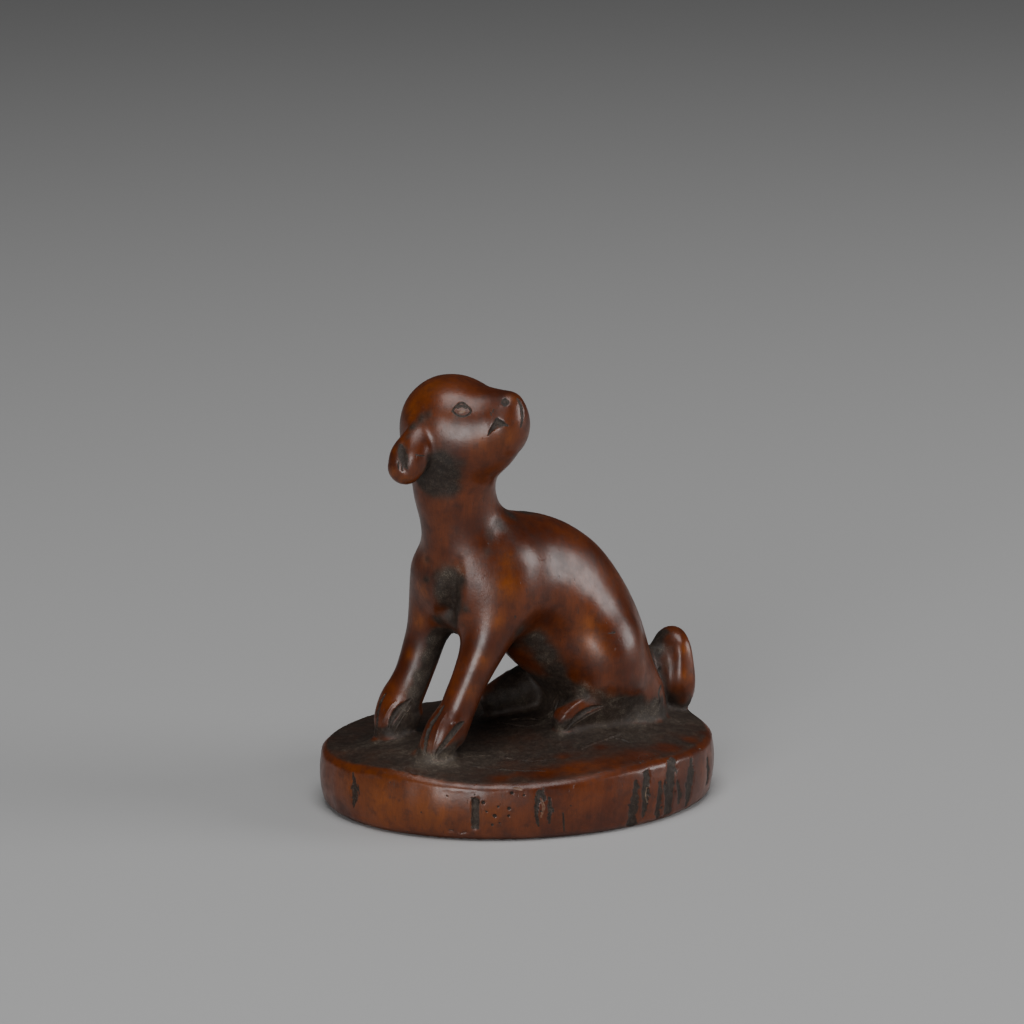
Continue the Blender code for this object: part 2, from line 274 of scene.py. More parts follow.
def swept(p, rows, across=None, widen=1.0):
    """Distance to a ball swept along rows of x, y, z and radius.

    The ball is stretched by the factor widen along the unit vector across.
    """
    c = curve_through(rows, SWEEP_STEPS)
    big = c[:, 3:] * max(widen, 1.0)
    low = (c[:, :3] - big).min(0) - SWEEP_REACH
    high = (c[:, :3] + big).max(0) + SWEEP_REACH
    beyond = np.maximum(low - p, p - high).max(1)
    out = np.maximum(beyond, 0.0) + SWEEP_REACH
    near = np.nonzero(beyond < 0)[0]
    if len(near) == 0:
        return out
    v = p[near][:, None, :] - c[None, :, :3]
    d2 = (v * v).sum(2)
    if across is not None:
        d2 = d2 + (v @ np.asarray(across)) ** 2 * (1.0 / widen ** 2 - 1.0)
    f = np.sqrt(np.maximum(d2, 1e-12)) - c[None, :, 3]
    i = np.clip(f.argmin(1), 1, len(c) - 2)
    k = np.arange(len(near))
    before, here, after = f[k, i - 1], f[k, i], f[k, i + 1]
    slope = 0.5 * (before - after)
    curl = np.maximum(before - 2 * here + after, 1e-9)
    t = np.clip(slope / curl, -1.0, 1.0)
    out[near] = here - slope * t + 0.5 * curl * t * t
    return out


def egg(p, centre, radii):
    """Distance to an egg with three radii along the axes."""
    v = p - np.asarray(centre)
    r = np.asarray(radii)
    k0 = np.sqrt(((v / r) ** 2).sum(1))
    k1 = np.sqrt(((v / (r * r)) ** 2).sum(1))
    return k0 * (k0 - 1.0) / np.maximum(k1, 1e-6)


def ground(x, y):
    """Height of the ground over the top of the plate, as a share."""
    return sum(
        high * np.exp(-((x - at_x) / wide) ** 2 - ((y - at_y) / long) ** 2)
        for high, at_x, at_y, wide, long in MOUNDS
    )


def plate(p):
    """Oval plate with a swelling side, a round rim and a mound on top."""
    x, y, z = p.T
    half_x = 0.5 * BASE_WIDTH / HEIGHT
    half_y = 0.5 * BASE_LENGTH / HEIGHT
    thick = BASE_THICK / HEIGHT
    rim = RIM_ROUND / HEIGHT
    k = np.hypot(x / half_x, y / half_y)
    side = np.hypot(x, y) * (k - 1.0) / np.maximum(k, 1e-3)
    lean = 2.0 * z / thick - 1.0
    side = side + 0.010 * lean ** 2 - 0.004 * lean + rim
    top = np.maximum(z - thick - ground(x, y), -z) + rim
    outside = np.hypot(np.maximum(side, 0.0), np.maximum(top, 0.0))
    return outside + np.minimum(np.maximum(side, top), 0.0) - rim


def other_side(rows):
    """The same rows on the far side of the head."""
    rows = np.array(rows, float)
    side = (rows[:, :3] - SKULL[:3]) @ RIGHT
    rows[:, :3] -= 2.0 * side[:, None] * np.array(RIGHT)
    return rows


def flipped(rows):
    """The same rows on the far side of the body."""
    return np.array(rows, float) * ([-1.0] + [1.0] * (len(rows[0]) - 1))


def trunk(p):
    """Chest, belly, flanks, seat and hindquarters."""
    d = swept(p, TORSO, ACROSS, TRUNK_SPREAD)
    d = blend_min(d, swept(p, BRISKET), SOFT_HEAD)
    for rows in (BELLY, NEAR_FLANK, flipped(NEAR_FLANK)):
        d = blend_min(d, swept(p, rows), SOFT_TRUNK)
    d = blend_min(d, swept(p, NECK), SOFT_NECK)
    d = blend_min(d, head(p), SOFT_HEAD)
    d = blend_min(d, egg(p, SEAT, SEAT_RADII), SOFT_SEAT)
    for rows in (NEAR_HAUNCH, flipped(NEAR_HAUNCH)):
        d = blend_min(d, swept(p, rows), SOFT_HAUNCH)
    for rows in (NEAR_RUMP, flipped(NEAR_RUMP)):
        d = blend_min(d, swept(p, rows), SOFT_RUMP)
    return d


def head(p):
    """Skull, muzzle, nose and jaw."""
    d = egg(p, SKULL[:3], (SKULL[3],) * 3)
    d = blend_min(d, swept(p, SNOUT), SOFT_HEAD)
    d = blend_min(d, swept(p, NOSE), SOFT_NOSE)
    return blend_min(d, swept(p, JAW), SOFT_HEAD)


def tail(p):
    """Short thick tail with three flat cuts, on its root."""
    d = egg(p, TAIL_CENTRE, TAIL_RADII)
    for face, reach in TAIL_FACES:
        d = blend_max(d, (p - TAIL_CENTRE) @ face - reach, SOFT_FACET)
    return blend_min(d, egg(p, TAIL_ROOT, ROOT_RADII), SOFT_HIND)


def figure(p):
    """The animal alone, in its own frame."""
    d = trunk(p)
    d = blend_min(d, swept(p, NEAR_EAR, EAR_FACE, EAR_SPREAD), SOFT_EAR)
    d = blend_min(d, swept(p, other_side(NEAR_EAR), FAR_EAR_FACE, EAR_SPREAD), SOFT_EAR)
    for rows in (NEAR_FORELEG, FAR_FORELEG):
        d = blend_min(d, swept(p, rows), SOFT_SHOULDER)
    for rows in (NEAR_FOREPAW, FAR_FOREPAW):
        d = blend_min(d, swept(p, rows, ACROSS, PAW_SPREAD), SOFT_PAW)
    for rows in (NEAR_HINDPAW, FAR_HINDPAW):
        d = blend_min(d, swept(p, rows), SOFT_HIND)
    return blend_min(d, tail(p), SOFT_TAIL)


def to_body(p):
    """From the plate's frame to the animal's own, whose z starts on the plate."""
    c, s = math.cos(TURN), math.sin(TURN)
    x, y, z = p.T
    return np.column_stack([c * x + s * y, c * y - s * x, z - BASE_THICK / HEIGHT])


def from_body(q):
    """Back from the animal's frame to the plate's."""
    c, s = math.cos(TURN), math.sin(TURN)
    x, y, z = q.T
    return np.column_stack([c * x - s * y, s * x + c * y, z + BASE_THICK / HEIGHT])


def whole(p):
    """The animal and its plate in one piece."""
    return blend_min(figure(to_body(p)), plate(p), SOFT_GROUND)


STATIONS = (
    TORSO, BRISKET, BELLY, NEAR_FLANK, flipped(NEAR_FLANK), NECK, SNOUT, NOSE, JAW,
    NEAR_EAR, other_side(NEAR_EAR), NEAR_FORELEG, NEAR_FOREPAW, FAR_FORELEG, FAR_FOREPAW,
    NEAR_HAUNCH, flipped(NEAR_HAUNCH), NEAR_RUMP, flipped(NEAR_RUMP),
    NEAR_HINDPAW, FAR_HINDPAW,
)
EGGS = (
    (SKULL[:3], (SKULL[3],) * 3),
    (SEAT, SEAT_RADII),
    (TAIL_ROOT, ROOT_RADII),
    (TAIL_CENTRE, TAIL_RADII),
)


def rough_block():
    """Blanks: balls along every limb, eggs for the rounder masses, the plate."""
    bm = bmesh.new()
    thick = BASE_THICK / HEIGHT
    turn = Matrix.Translation((0.0, 0.0, thick)) @ Matrix.Rotation(TURN, 4, "Z")
    for rows in STATIONS:
        for x, y, z, r in curve_through(rows, 3):
            at = turn @ Matrix.Translation((x, y, z))
            bmesh.ops.create_icosphere(bm, subdivisions=2, radius=r, matrix=at)
    for centre, radii in EGGS:
        at = turn @ Matrix.Translation(centre) @ Matrix.Diagonal((*radii, 1.0))
        bmesh.ops.create_icosphere(bm, subdivisions=3, radius=1.0, matrix=at)
    spread = Matrix.Diagonal((BASE_WIDTH / HEIGHT, BASE_LENGTH / HEIGHT, 1.0, 1.0))
    at = Matrix.Translation((0.0, 0.0, 0.5 * thick)) @ spread
    bmesh.ops.create_cone(
        bm, cap_ends=True, segments=96, radius1=0.5, radius2=0.5, depth=thick, matrix=at
    )
    mesh = bpy.data.meshes.new("rough block")
    bm.to_mesh(mesh)
    bm.free()
    return mesh


def shown(name, data):
    """An object with that data, put into the scene."""
    made = bpy.data.objects.new(name, data)
    bpy.context.scene.collection.objects.link(made)
    return made


def worked(mesh, kind, **settings):
    """The mesh after one modifier of that kind."""
    held = shown("work", mesh)
    step = held.modifiers.new(kind.title(), kind)
    for name, value in settings.items():
        setattr(step, name, value)
    seen = held.evaluated_get(bpy.context.evaluated_depsgraph_get())
    result = bpy.data.meshes.new_from_object(seen)
    bpy.data.objects.remove(held)
    return result


def column(mesh, name):
    """The place (co) or the normal of every vertex."""
    values = np.empty(3 * len(mesh.vertices))
    mesh.vertices.foreach_get(name, values)
    return values.reshape(-1, 3)


def put_back(mesh, p):
    """New places for the vertices, with the underside kept flat."""
    p[:, 2] = np.maximum(p[:, 2], 0.0)
    p[p[:, 2] < FLAT_REACH, 2] = 0.0
    mesh.vertices.foreach_set("co", p.ravel())
    mesh.update()
    return mesh


def settle(mesh, rounds):
    """Move every vertex onto the form along the form's slope."""
    p = column(mesh, "co")
    for _ in range(rounds):
        here = whole(p)
        slope = np.column_stack([whole(p + PROBE_STEP * axis) - here for axis in np.eye(3)])
        slope /= PROBE_STEP
        steep = np.maximum((slope * slope).sum(1), 0.25)
        p -= (np.clip(here, -0.03, 0.03) / steep)[:, None] * slope
    return put_back(mesh, p)


# The camera's own axes
SIDEWAYS = np.array([math.cos(AZIMUTH), math.sin(AZIMUTH), 0.0])
BACKWARD = np.array([
    math.sin(AZIMUTH) * math.cos(ELEVATION),
    -math.cos(AZIMUTH) * math.cos(ELEVATION),
    math.sin(ELEVATION),
])
UPWARD = np.cross(BACKWARD, SIDEWAYS)
EYE_POINT = SIDEWAYS * AIM_SHIFT + np.array([0.0, 0.0, AIM_HEIGHT]) + BACKWARD * DISTANCE


def traced(tree, rows, widen=False):
    """Rows of u, v and more laid on the surface: x, y, z and the same more.

    A mark's width can be widened where the surface turns from the camera.
    """
    out = []
    start = Vector(EYE_POINT / HEIGHT)
    for u, v, *more in rows:
        right = (u / IMAGE - 0.5) * SENSOR / LENS
        up = (0.5 - v / IMAGE) * SENSOR / LENS
        way = Vector(SIDEWAYS * right + UPWARD * up - BACKWARD)
        hit, facing = tree.ray_cast(start, way)[:2]
        if hit is None:
            continue
        if widen:
            more = [more[0] / max(0.35, -facing.dot(way.normalized())), *more[1:]]
        out.append([*hit, *more])
    return np.array(out)


def near_curve(p, curve):
    """Distance to a curve, and the curve's other columns at the nearest place."""
    a, b = curve[:-1], curve[1:]
    ab = b[:, :3] - a[:, :3]
    span = np.maximum((ab * ab).sum(1), 1e-12)
    t = np.clip(((p[:, None, :] - a[None, :, :3]) * ab).sum(2) / span, 0.0, 1.0)
    foot = a[None, :, :3] + t[..., None] * ab
    far = np.linalg.norm(p[:, None, :] - foot, axis=2)
    k = far.argmin(1)
    row = np.arange(len(p))
    here = a[k] + t[row, k][:, None] * (b[k] - a[k])
    return far[row, k], here[:, 3:]


def smooth(low, high, x):
    """Soft step from 0 at low to 1 at high."""
    t = np.clip((x - low) / (high - low), 0.0, 1.0)
    return t * t * (3.0 - 2.0 * t)


# Marks seen from the camera.  Each has its profile, how much soil it holds, which in
# cuts and creases also paints their shade, how much bare wood it shows, which on the
# eyeball and some ridges is a painted highlight, and rows of u, v, half width and
# depth.  All four are pixels of the photograph, a tenth of a millimetre at the middle
# of the animal.
# A name at the end puts the mark on the far side of the head or paws as well.
MARKS = (
    # Eye, nostril, lip nicks and corner of the mouth
    ("cut", 0.95, 0, ((452.3, 411.2, 1.2, 0.8), (456.5, 405.6, 1.2, 0.9),
     (461.7, 402.4, 1.2, 0.9), (467, 405.8, 1.2, 0.9), (470.8, 411.2, 1.2, 0.8),
     (467.5, 415, 1.1, 0.8), (463, 416.4, 1.1, 0.8), (457.5, 415.2, 1.1, 0.8),
     (452.3, 411.2, 1.2, 0.8)), "head"),
    ("cut", 0.7, 0, ((457.5, 407.6, 1.6, 0.5), (461.8, 405.6, 1.8, 0.5),
     (466, 407.8, 1.6, 0.5)), "head"),
    # Eyeball: its bare wood is a painted glint
    ("ridge", 0, 0.5, ((459.8, 411.6, 2, 0.7), (463.6, 411.6, 2, 0.7)), "head"),
    ("cut", 0.9, 0, ((505.2, 398.6, 1.2, 0.7), (508.4, 402.4, 1.2, 0.7), (504.6, 405.6, 1.2, 0.7),
     (501.8, 401.8, 1.2, 0.7), (505.2, 398.6, 1.2, 0.7)), "head"),
    ("cut", 0.6, 0.1, ((505, 401, 2.4, 0.8), (505, 403.2, 2.4, 0.8)), "head"),
    ("cut", 0.9, 0, ((493.6, 409.2, 0.8, 0.5), (492.6, 412.2, 0.8, 0.5)), "head"),
    ("cut", 0.9, 0, ((490.6, 412.4, 0.8, 0.5), (491.4, 415.2, 0.8, 0.5)), "head"),
    ("cut", 1, 0, ((488, 435.4, 0.7, 0.5), (491.6, 428.6, 1.9, 1.3),
     (497.2, 419.4, 2.2, 1.5)), "head"),
    ("cut", 1, 0, ((496.6, 420.6, 2.4, 1.4), (501, 422.8, 3, 1.8),
     (507.4, 425.6, 1, 0.7)), "head"),
    ("cut", 0.6, 0.2, ((492, 430.6, 1.4, 0.8), (497, 426, 2.8, 1.5), (502, 425.6, 2, 1)), "head"),
    ("cut", 0.9, 0, ((517.6, 399, 1.4, 0.5), (521, 406, 2.6, 1.4), (522.4, 416, 2.4, 1.2),
     (520.6, 427, 1.2, 0.5))),
    # Ear: hollow, nicks and a crack
    ("cut", 0.3, 0, ((405, 440, 5, 0.5), (402, 449, 8.5, 1.5), (401.4, 458, 9.5, 2),
     (403, 466, 8, 1.4), (405.4, 472, 4, 0.4)), "head"),
    ("cut", 0.8, 0, ((400.2, 446, 2.6, 0.3), (401, 451, 4.6, 0.7), (402.6, 457, 5.6, 0.9),
     (404.2, 462, 4.6, 0.7), (405.4, 466.4, 2.5, 0.3)), "head"),
    ("cut", 0.8, 0, ((397.6, 462.6, 0.9, 0.5), (398.2, 469, 0.8, 0.4)), "head"),
    ("cut", 0.8, 0.1, ((401.6, 464.6, 0.9, 0.5), (402.2, 470.8, 0.8, 0.4)), "head"),
    ("cut", 0.8, 0.1, ((404.8, 466, 0.8, 0.4), (407.2, 468.8, 0.8, 0.4))),
    ("cut", 0.8, 0, ((415.8, 454.6, 0.7, 0.3), (420, 455.5, 0.8, 0.4), (424.4, 455.8, 0.8, 0.4))),
    # Recess of the chest between the forelegs
    ("cut", 0, 0, ((458, 562, 8, 1), (453, 580, 15, 6), (449, 598, 18, 11), (446, 616, 16, 12),
     (443, 630, 12, 8))),
    # Near forepaw: two grooves, the toe between them and a knob of wood
    ("ridge", 0, 0.1, ((446, 713, 1.6, 0.3), (441.2, 722, 2.8, 0.9), (437.6, 731, 3, 1.1),
     (434.6, 742, 2.4, 0.8), (432.4, 752, 1.4, 0.3))),
    ("slot", 1, 0, ((443.8, 705.4, 0.9, 0.5), (440, 711, 2.4, 1.6), (434.6, 718.5, 3.3, 2.4),
     (429.2, 728, 3.5, 2.7), (426, 738, 3.4, 2.5), (424.9, 747, 2.4, 1.7), (425, 753, 1, 0.6))),
    ("ridge", 0, 0.45, ((441.8, 705.6, 0.7, 0.3), (433.2, 713.4, 0.8, 0.4),
     (427.4, 721, 0.8, 0.4), (422.9, 730.5, 0.8, 0.4), (421.2, 739.5, 0.8, 0.4),
     (422.2, 751, 0.7, 0.3))),
    ("slot", 1, 0, ((463.6, 722, 1.4, 0.8), (459.4, 725.6, 3.4, 2.2), (452.4, 733.5, 3.5, 2.7),
     (445.6, 742, 3, 2.3), (439.6, 749, 2.1, 1.5), (435.6, 755, 0.9, 0.5))),
    ("ridge", 0, 0.3, ((464.6, 724.6, 0.7, 0.3), (456, 735.8, 0.8, 0.4), (447.6, 745.2, 0.8, 0.4),
     (438.6, 754.2, 0.7, 0.3))),
    ("ridge", 0, 0.1, ((453, 722.8, 2.4, 1.3), (454.2, 723.4, 2.4, 1.3))),
    # Far forepaw
    ("ridge", 0, 0.1, ((396, 701, 1.4, 0.3), (390, 707, 2.6, 0.9), (385, 716, 2.6, 0.9),
     (380.8, 727, 1.9, 0.5))),
    ("slot", 1, 0, ((385.6, 693.6, 0.8, 0.4), (381.4, 700, 2, 1.3), (378.2, 708, 2.6, 1.9),
     (376.8, 718, 2.4, 1.7), (376.4, 727, 1.9, 1.2), (375.4, 735, 0.9, 0.5))),
    ("ridge", 0, 0.45, ((384.4, 694.4, 0.7, 0.3), (378.6, 701, 0.8, 0.4), (375.6, 710, 0.8, 0.4),
     (374.4, 722, 0.8, 0.4), (374, 734, 0.7, 0.3))),
    ("slot", 1, 0, ((410, 699.6, 1.1, 0.6), (404, 704.6, 2.8, 1.8), (397.4, 711, 3.8, 2.9),
     (392, 719, 3.2, 2.3), (388.8, 728, 1.3, 0.8))),
    ("ridge", 0, 0.35, ((411.4, 706, 0.8, 0.4), (404.2, 716, 0.9, 0.5), (397.4, 727, 0.9, 0.5),
     (394, 733, 0.7, 0.3))),
    # Near hind paw, which lies low on the ground
    ("ridge", 0, 0.35, ((560.2, 692.6, 0.8, 0.3), (553.6, 702, 1, 0.6),
     (548.6, 716.6, 0.8, 0.4)), "hind"),
    ("cut", 1, 0, ((562.6, 694.2, 1, 0.6), (556.8, 705, 1.6, 1.1),
     (551.8, 717, 1.1, 0.7)), "hind"),
    ("ridge", 0, 0.35, ((566, 697, 0.8, 0.3), (560.4, 706, 0.9, 0.5),
     (555.8, 716, 0.8, 0.4)), "hind"),
    ("ridge", 0, 0, ((592, 696, 2.6, 0.6), (578.4, 703, 4.4, 1.5), (567.4, 713, 4.4, 1.5),
     (558.6, 723, 2.6, 0.7)), "hind"),
    ("slot", 1, 0, ((602.6, 706, 0.9, 0.5), (592, 707.8, 2.3, 1.5), (581.4, 713.6, 3.2, 2.4),
     (572.8, 721.6, 2.7, 1.8), (566.6, 729, 1, 0.5)), "hind"),
    ("ridge", 0, 0.4, ((601.6, 709, 0.8, 0.4), (590, 714.8, 1, 0.8), (579, 721.8, 1, 0.8),
     (570.2, 729.6, 0.7, 0.3)), "hind"),
    # Crease in front of the tail, its soil also painting the shade in the crease
    ("cut", 0.9, 0, ((654.6, 637, 1.4, 0.8), (657.6, 650, 2, 1.3), (659.2, 670, 2.2, 1.5),
     (659.4, 690, 2.2, 1.4), (660, 705, 1.6, 1))),
    # Wear on the back and thigh
    ("cut", 1, 0, ((612.6, 632.6, 1.2, 0.7), (614.6, 632.4, 1.2, 0.7))),
    ("cut", 0.7, 0, ((608.8, 633.2, 0.6, 0.3), (611.4, 633.2, 0.6, 0.3))),
    ("cut", 0.8, 0, ((515, 616.2, 1.1, 0.4), (515.8, 617.4, 1.1, 0.4))),
    ("cut", 0.3, 0, ((557, 544, 0.5, 0.18), (559.6, 550.4, 0.5, 0.18))),
    ("cut", 0.3, 0, ((528, 551.6, 0.5, 0.15), (535.4, 550.4, 0.5, 0.15))),
    ("cut", 0.4, 0, ((537.6, 556, 0.5, 0.2), (541.4, 562.4, 0.5, 0.2))),
    ("cut", 0.4, 0, ((541.6, 560.6, 0.5, 0.2), (546.6, 559.6, 0.5, 0.2))),
    ("cut", 0.4, 0, ((549.6, 553.6, 0.5, 0.2), (551.2, 562, 0.5, 0.2))),
    # Ridge of the ground where the dull mound meets the polished slope
    ("ridge", 0, 0.3, ((582, 748.4, 1.2, 0.5), (594, 743.6, 1.9, 1), (607.6, 738.8, 2.1, 1.3),
     (620, 734, 2.1, 1.3), (633, 728.6, 1.8, 0.9), (645, 722.4, 1.2, 0.5))),
    ("cut", 0.8, 0, ((612, 737.4, 1, 0.5), (622, 739.8, 1.8, 1.1), (633, 743.4, 1.2, 0.6))),
    ("cut", 1, 0, ((497, 722, 1.2, 0.6), (510, 724.4, 2.2, 1.3), (523, 726.4, 2.2, 1.2),
     (536, 725.4, 1.2, 0.6))),
    ("ridge", 0, 0.1, ((512, 719, 1.8, 0.6), (529, 718.6, 2.4, 0.9), (541, 719.6, 1.6, 0.5))),
    ("cut", 0.9, 0, ((470, 766, 0.9, 0.4), (505, 770, 1.3, 0.6), (545, 771, 0.9, 0.4))),
    ("cut", 0.7, 0.1, ((500, 757, 0.8, 0.4), (532, 761, 1.1, 0.5), (556, 759, 0.8, 0.4))),
    ("cut", 0, 0.4, ((440, 758.4, 0.7, 0.3), (462, 757, 0.8, 0.3), (488, 755.2, 0.7, 0.3))),
    # Side of the plate, from left to right: scars, a slot, pits and chips
    ("scar", 0.7, 0.1, ((352.4, 772.5, 0.7, 0.3), (353, 781, 1.9, 1), (353.8, 790.5, 3.8, 1.8),
     (353.6, 799, 2.2, 1.2), (352.8, 807, 0.7, 0.3))),
    ("ridge", 0, 0.35, ((352.6, 787, 0.9, 0.4), (355.4, 792.6, 1.3, 0.5), (354, 799, 0.9, 0.4))),
    ("cut", 0.7, 0, ((357, 785, 0.9, 0.5), (358.4, 794, 1, 0.5))),
    ("slot", 0.85, 0, ((475.4, 801.5, 4.7, 2.6), (475.6, 814, 4.9, 2.8),
     (475.4, 826.5, 4.7, 2.6))),
    ("cut", 0.9, 0, ((474, 784.6, 0.6, 0.3), (474.4, 795, 0.7, 0.5))),
    ("scar", 1, 0, ((539, 792.6, 2.8, 1.4), (536.9, 803, 2.2, 1.5), (536.6, 815, 2, 1.2),
     (539, 826.6, 0.9, 0.5))),
    ("scar", 1, 0, ((541.6, 793.2, 2.5, 1.4), (545, 800, 2, 1.3))),
    ("ridge", 0, 0.45, ((541.6, 801, 1.8, 0.5), (543.8, 808, 2.2, 0.7),
     (541.2, 817.5, 1.3, 0.4))),
    ("scar", 0.9, 0, ((549.6, 798.4, 1.5, 0.9), (550.8, 810, 2.2, 1.2), (550, 823.6, 1, 0.6))),
    ("cut", 0.8, 0, ((563.4, 813.4, 0.8, 0.5), (564, 822, 1.2, 0.7), (564.3, 832, 0.7, 0.4))),
    ("scar", 1, 0, ((636.6, 781, 1.5, 0.8), (635.6, 793, 2.9, 1.6), (634, 808, 3.5, 1.8),
     (632.6, 824, 2.4, 1.2))),
    ("scar", 1, 0, ((647.3, 772.6, 2.7, 1.6), (646.6, 786, 3, 1.9), (645.6, 800, 2.8, 1.7),
     (644, 816, 1.7, 1))),
    ("ridge", 0, 0.5, ((648.4, 788, 0.8, 0.4), (647, 796, 1, 0.5), (648, 803, 0.7, 0.3))),
    ("scar", 0.9, 0, ((661, 783, 1.3, 0.7), (660.4, 796, 2.1, 1.1), (658.6, 808, 2.5, 1.2),
     (657.4, 817.4, 1.5, 0.8))),
    ("scar", 1, 0, ((672, 763, 4.6, 1.9), (671.6, 778, 4.5, 2.4), (670, 795, 3.9, 2.2),
     (668.4, 812, 3, 1.6), (667.2, 818.6, 2, 1))),
    ("scar", 0.9, 0, ((679, 782, 1.5, 0.9), (680.6, 794, 1.7, 1), (680, 803, 1, 0.5))),
    ("scar", 0.9, 0, ((692.2, 760, 1.5, 0.8), (691.8, 775, 2.8, 1.4), (689.6, 792, 2.6, 1.3),
     (687.4, 805, 1.3, 0.7))),
    ("scar", 0.9, 0, ((708.8, 762, 1.8, 0.9), (708.6, 780, 2, 1), (706.8, 793, 1.2, 0.6))),
    ("cut", 0.1, 0.5, ((513.6, 788.2, 1, 0.4), (517.6, 788.6, 2.1, 0.8),
     (521.6, 789.8, 1.1, 0.4))),
    ("cut", 0.5, 0.4, ((667.4, 760.6, 1.2, 0.7), (670.6, 760.6, 1.4, 0.8))),
    ("cut", 0.5, 0.1, ((449, 830.4, 1.1, 0.6), (452.6, 831, 1.3, 0.7))),
    ("cut", 0.4, 0.1, ((461, 834, 1.6, 0.7), (465.6, 832.6, 2, 0.8))),
    ("cut", 0.3, 0.1, ((405, 768.2, 2.6, 0.9), (410, 771.4, 3, 1.1), (415.6, 774, 2.4, 0.8))),
)
# Small pits: u, v and radius
PITS = (
    (483.2, 802.7, 2), (494.6, 816.2, 2.2), (509, 808.8, 2), (508.8, 816.3, 1.6),
    (498.2, 807, 1.3), (492.2, 825.3, 1.5), (511.8, 793.1, 1.9), (523.9, 795.4, 1.2),
    (499.4, 823.6, 1), (486.6, 812, 0.9), (407.8, 831.8, 1.2), (471.8, 798.4, 1.2),
    (633.8, 762.6, 1.1), (638.4, 758, 1.2), (642.6, 760.8, 0.9), (647, 755.4, 1.2),
    (650.8, 758.6, 1), (655.4, 754.2, 1), (640.2, 763, 0.9), (676.4, 748.8, 1.1), (671, 752, 0.9),
    (700, 749.2, 1.3), (622, 700.8, 0.9), (599, 772.4, 0.9), (571, 806, 0.9), (420.6, 812.8, 0.9),
    (446.4, 796, 0.8), (389.6, 782.4, 0.8),
)
# Soft patches: the mirror, then rows of u, v, radius and strength
# Soil patches: dirt, and painted shade under the thigh and belly, below the ear, in the chest
# recess and in the crease before the tail
SOIL_AND_SHADE_PATCHES = (
    ("head", (
        (402, 450, 7, 0.8), (403, 459, 7, 0.8), (405, 466, 5, 0.6), (398, 444, 5, 0.5),
        (434, 490, 13, 0.8), (448, 488, 12, 0.7), (423, 478, 9, 0.9), (430, 462, 13, 0.9),
        (444, 460, 13, 0.9), (439, 477, 14, 0.9), (453, 474, 11, 0.85), (426, 486, 8, 0.7),
        (456, 487, 9, 0.45), (462, 462, 7, 0.5), (421, 418, 8, 0.75), (429, 414, 6, 0.6),
        (412, 427, 6, 0.85), (436, 424, 5, 0.4), (408, 436, 5, 0.6),
    )),
    ("body", (
        (510, 514, 10, 0.85), (525, 512, 11, 0.65), (541, 516, 9, 0.4), (490, 534, 9, 0.5),
        (487, 552, 9, 0.5), (484, 520, 8, 0.4), (498, 522, 8, 0.6), (430, 522, 4, 0.3),
        (428, 560, 5, 0.5), (427, 580, 5, 0.6), (520, 632, 12, 0.8), (555, 610, 6, 0.4),
        (620, 697, 12, 0.5), (640, 702, 10, 0.7), (600, 692, 9, 0.5),
    )),
    ("none", (
        (655, 705, 10, 1), (665, 718, 9, 1), (650, 716, 9, 1), (640, 712, 9, 0.9),
        (625, 705, 10, 0.8), (675, 712, 10, 0.95), (688, 716, 8, 0.7), (672, 728, 9, 0.8),
        (600, 714, 8, 0.6), (612, 718, 9, 0.8), (592, 723, 8, 0.8), (550, 706, 7, 0.9),
        (553, 716, 6, 0.8), (419, 755, 8, 1), (427, 760, 6, 0.9), (368, 739, 6, 1),
        (378, 743, 7, 1), (390, 744, 7, 1), (425, 763, 8, 0.9), (440, 766, 8, 0.9),
        (455, 762, 8, 0.9), (471, 757, 7, 0.8), (372, 746, 7, 0.9), (386, 747, 7, 0.9),
        (363, 741, 5, 0.8), (400, 746, 8, 0.9), (572, 714, 12, 0.35), (560, 724, 9, 0.6),
        (600, 703, 12, 0.5), (585, 694, 9, 0.7), (449, 580, 10, 0.8), (448, 594, 13, 1),
        (448, 608, 13, 1), (450, 621, 11, 1), (443, 634, 9, 1), (508, 530, 11, 0.35),
        (445, 588, 13, 1), (447, 603, 13, 1), (436, 575, 8, 0.6), (461, 580, 8, 0.7),
        (450, 570, 8, 0.5), (438, 620, 9, 0.9), (433, 640, 9, 1), (427, 658, 9, 1),
        (420, 676, 9, 0.95), (414, 694, 9, 0.95), (410, 712, 9, 0.95), (404, 728, 8, 0.95),
        (410, 738, 8, 0.9), (535, 640, 15, 1), (545, 655, 15, 1), (555, 670, 13, 1),
        (563, 684, 10, 1), (540, 682, 18, 1), (510, 690, 18, 1), (492, 702, 13, 1),
        (658, 640, 5, 0.9), (659, 655, 4, 0.9), (660, 675, 4, 0.9), (662, 700, 6, 0.9),
        (671, 706, 8, 0.85), (682, 706, 6, 0.7), (665, 632, 4, 0.5), (580, 690, 8, 0.6),
        (466, 610, 5, 0.6), (463, 625, 4, 0.5),
    )),
)
# Amber patches: the wood's warmer worn tone, and painted light on the lit fronts of legs, thigh,
# ear and tail and a painted sheen on the plate's left side
AMBER_AND_SHEEN = (
    ("body", (
        (506, 588, 14, 0.8), (496, 620, 10, 0.7), (509, 560, 10, 0.5), (481, 660, 9, 0.6),
        (471, 690, 8, 0.5), (590, 640, 11, 1), (588, 624, 9, 0.8), (600, 652, 9, 0.6),
        (646, 655, 8, 0.3),
    )),
    ("head", (
        (405, 481, 6, 0.8), (391, 472, 5, 0.8), (425, 470, 4, 0.7), (430, 388, 12, 0.4),
        (411, 408, 9, 0.5), (506, 436, 11, 0.5), (480, 440, 11, 0.5), (512, 398, 5, 0.6),
    )),
    ("none", (
        (422, 590, 9, 0.8), (418, 620, 8, 0.8), (425, 560, 7, 0.5), (410, 655, 6, 0.5),
        (685, 650, 6, 0.8), (685, 676, 6, 0.8), (380, 800, 28, 0.75), (430, 806, 28, 0.75),
        (345, 785, 16, 0.5), (490, 812, 18, 0.35), (600, 740, 6, 0.2),
    )),
)
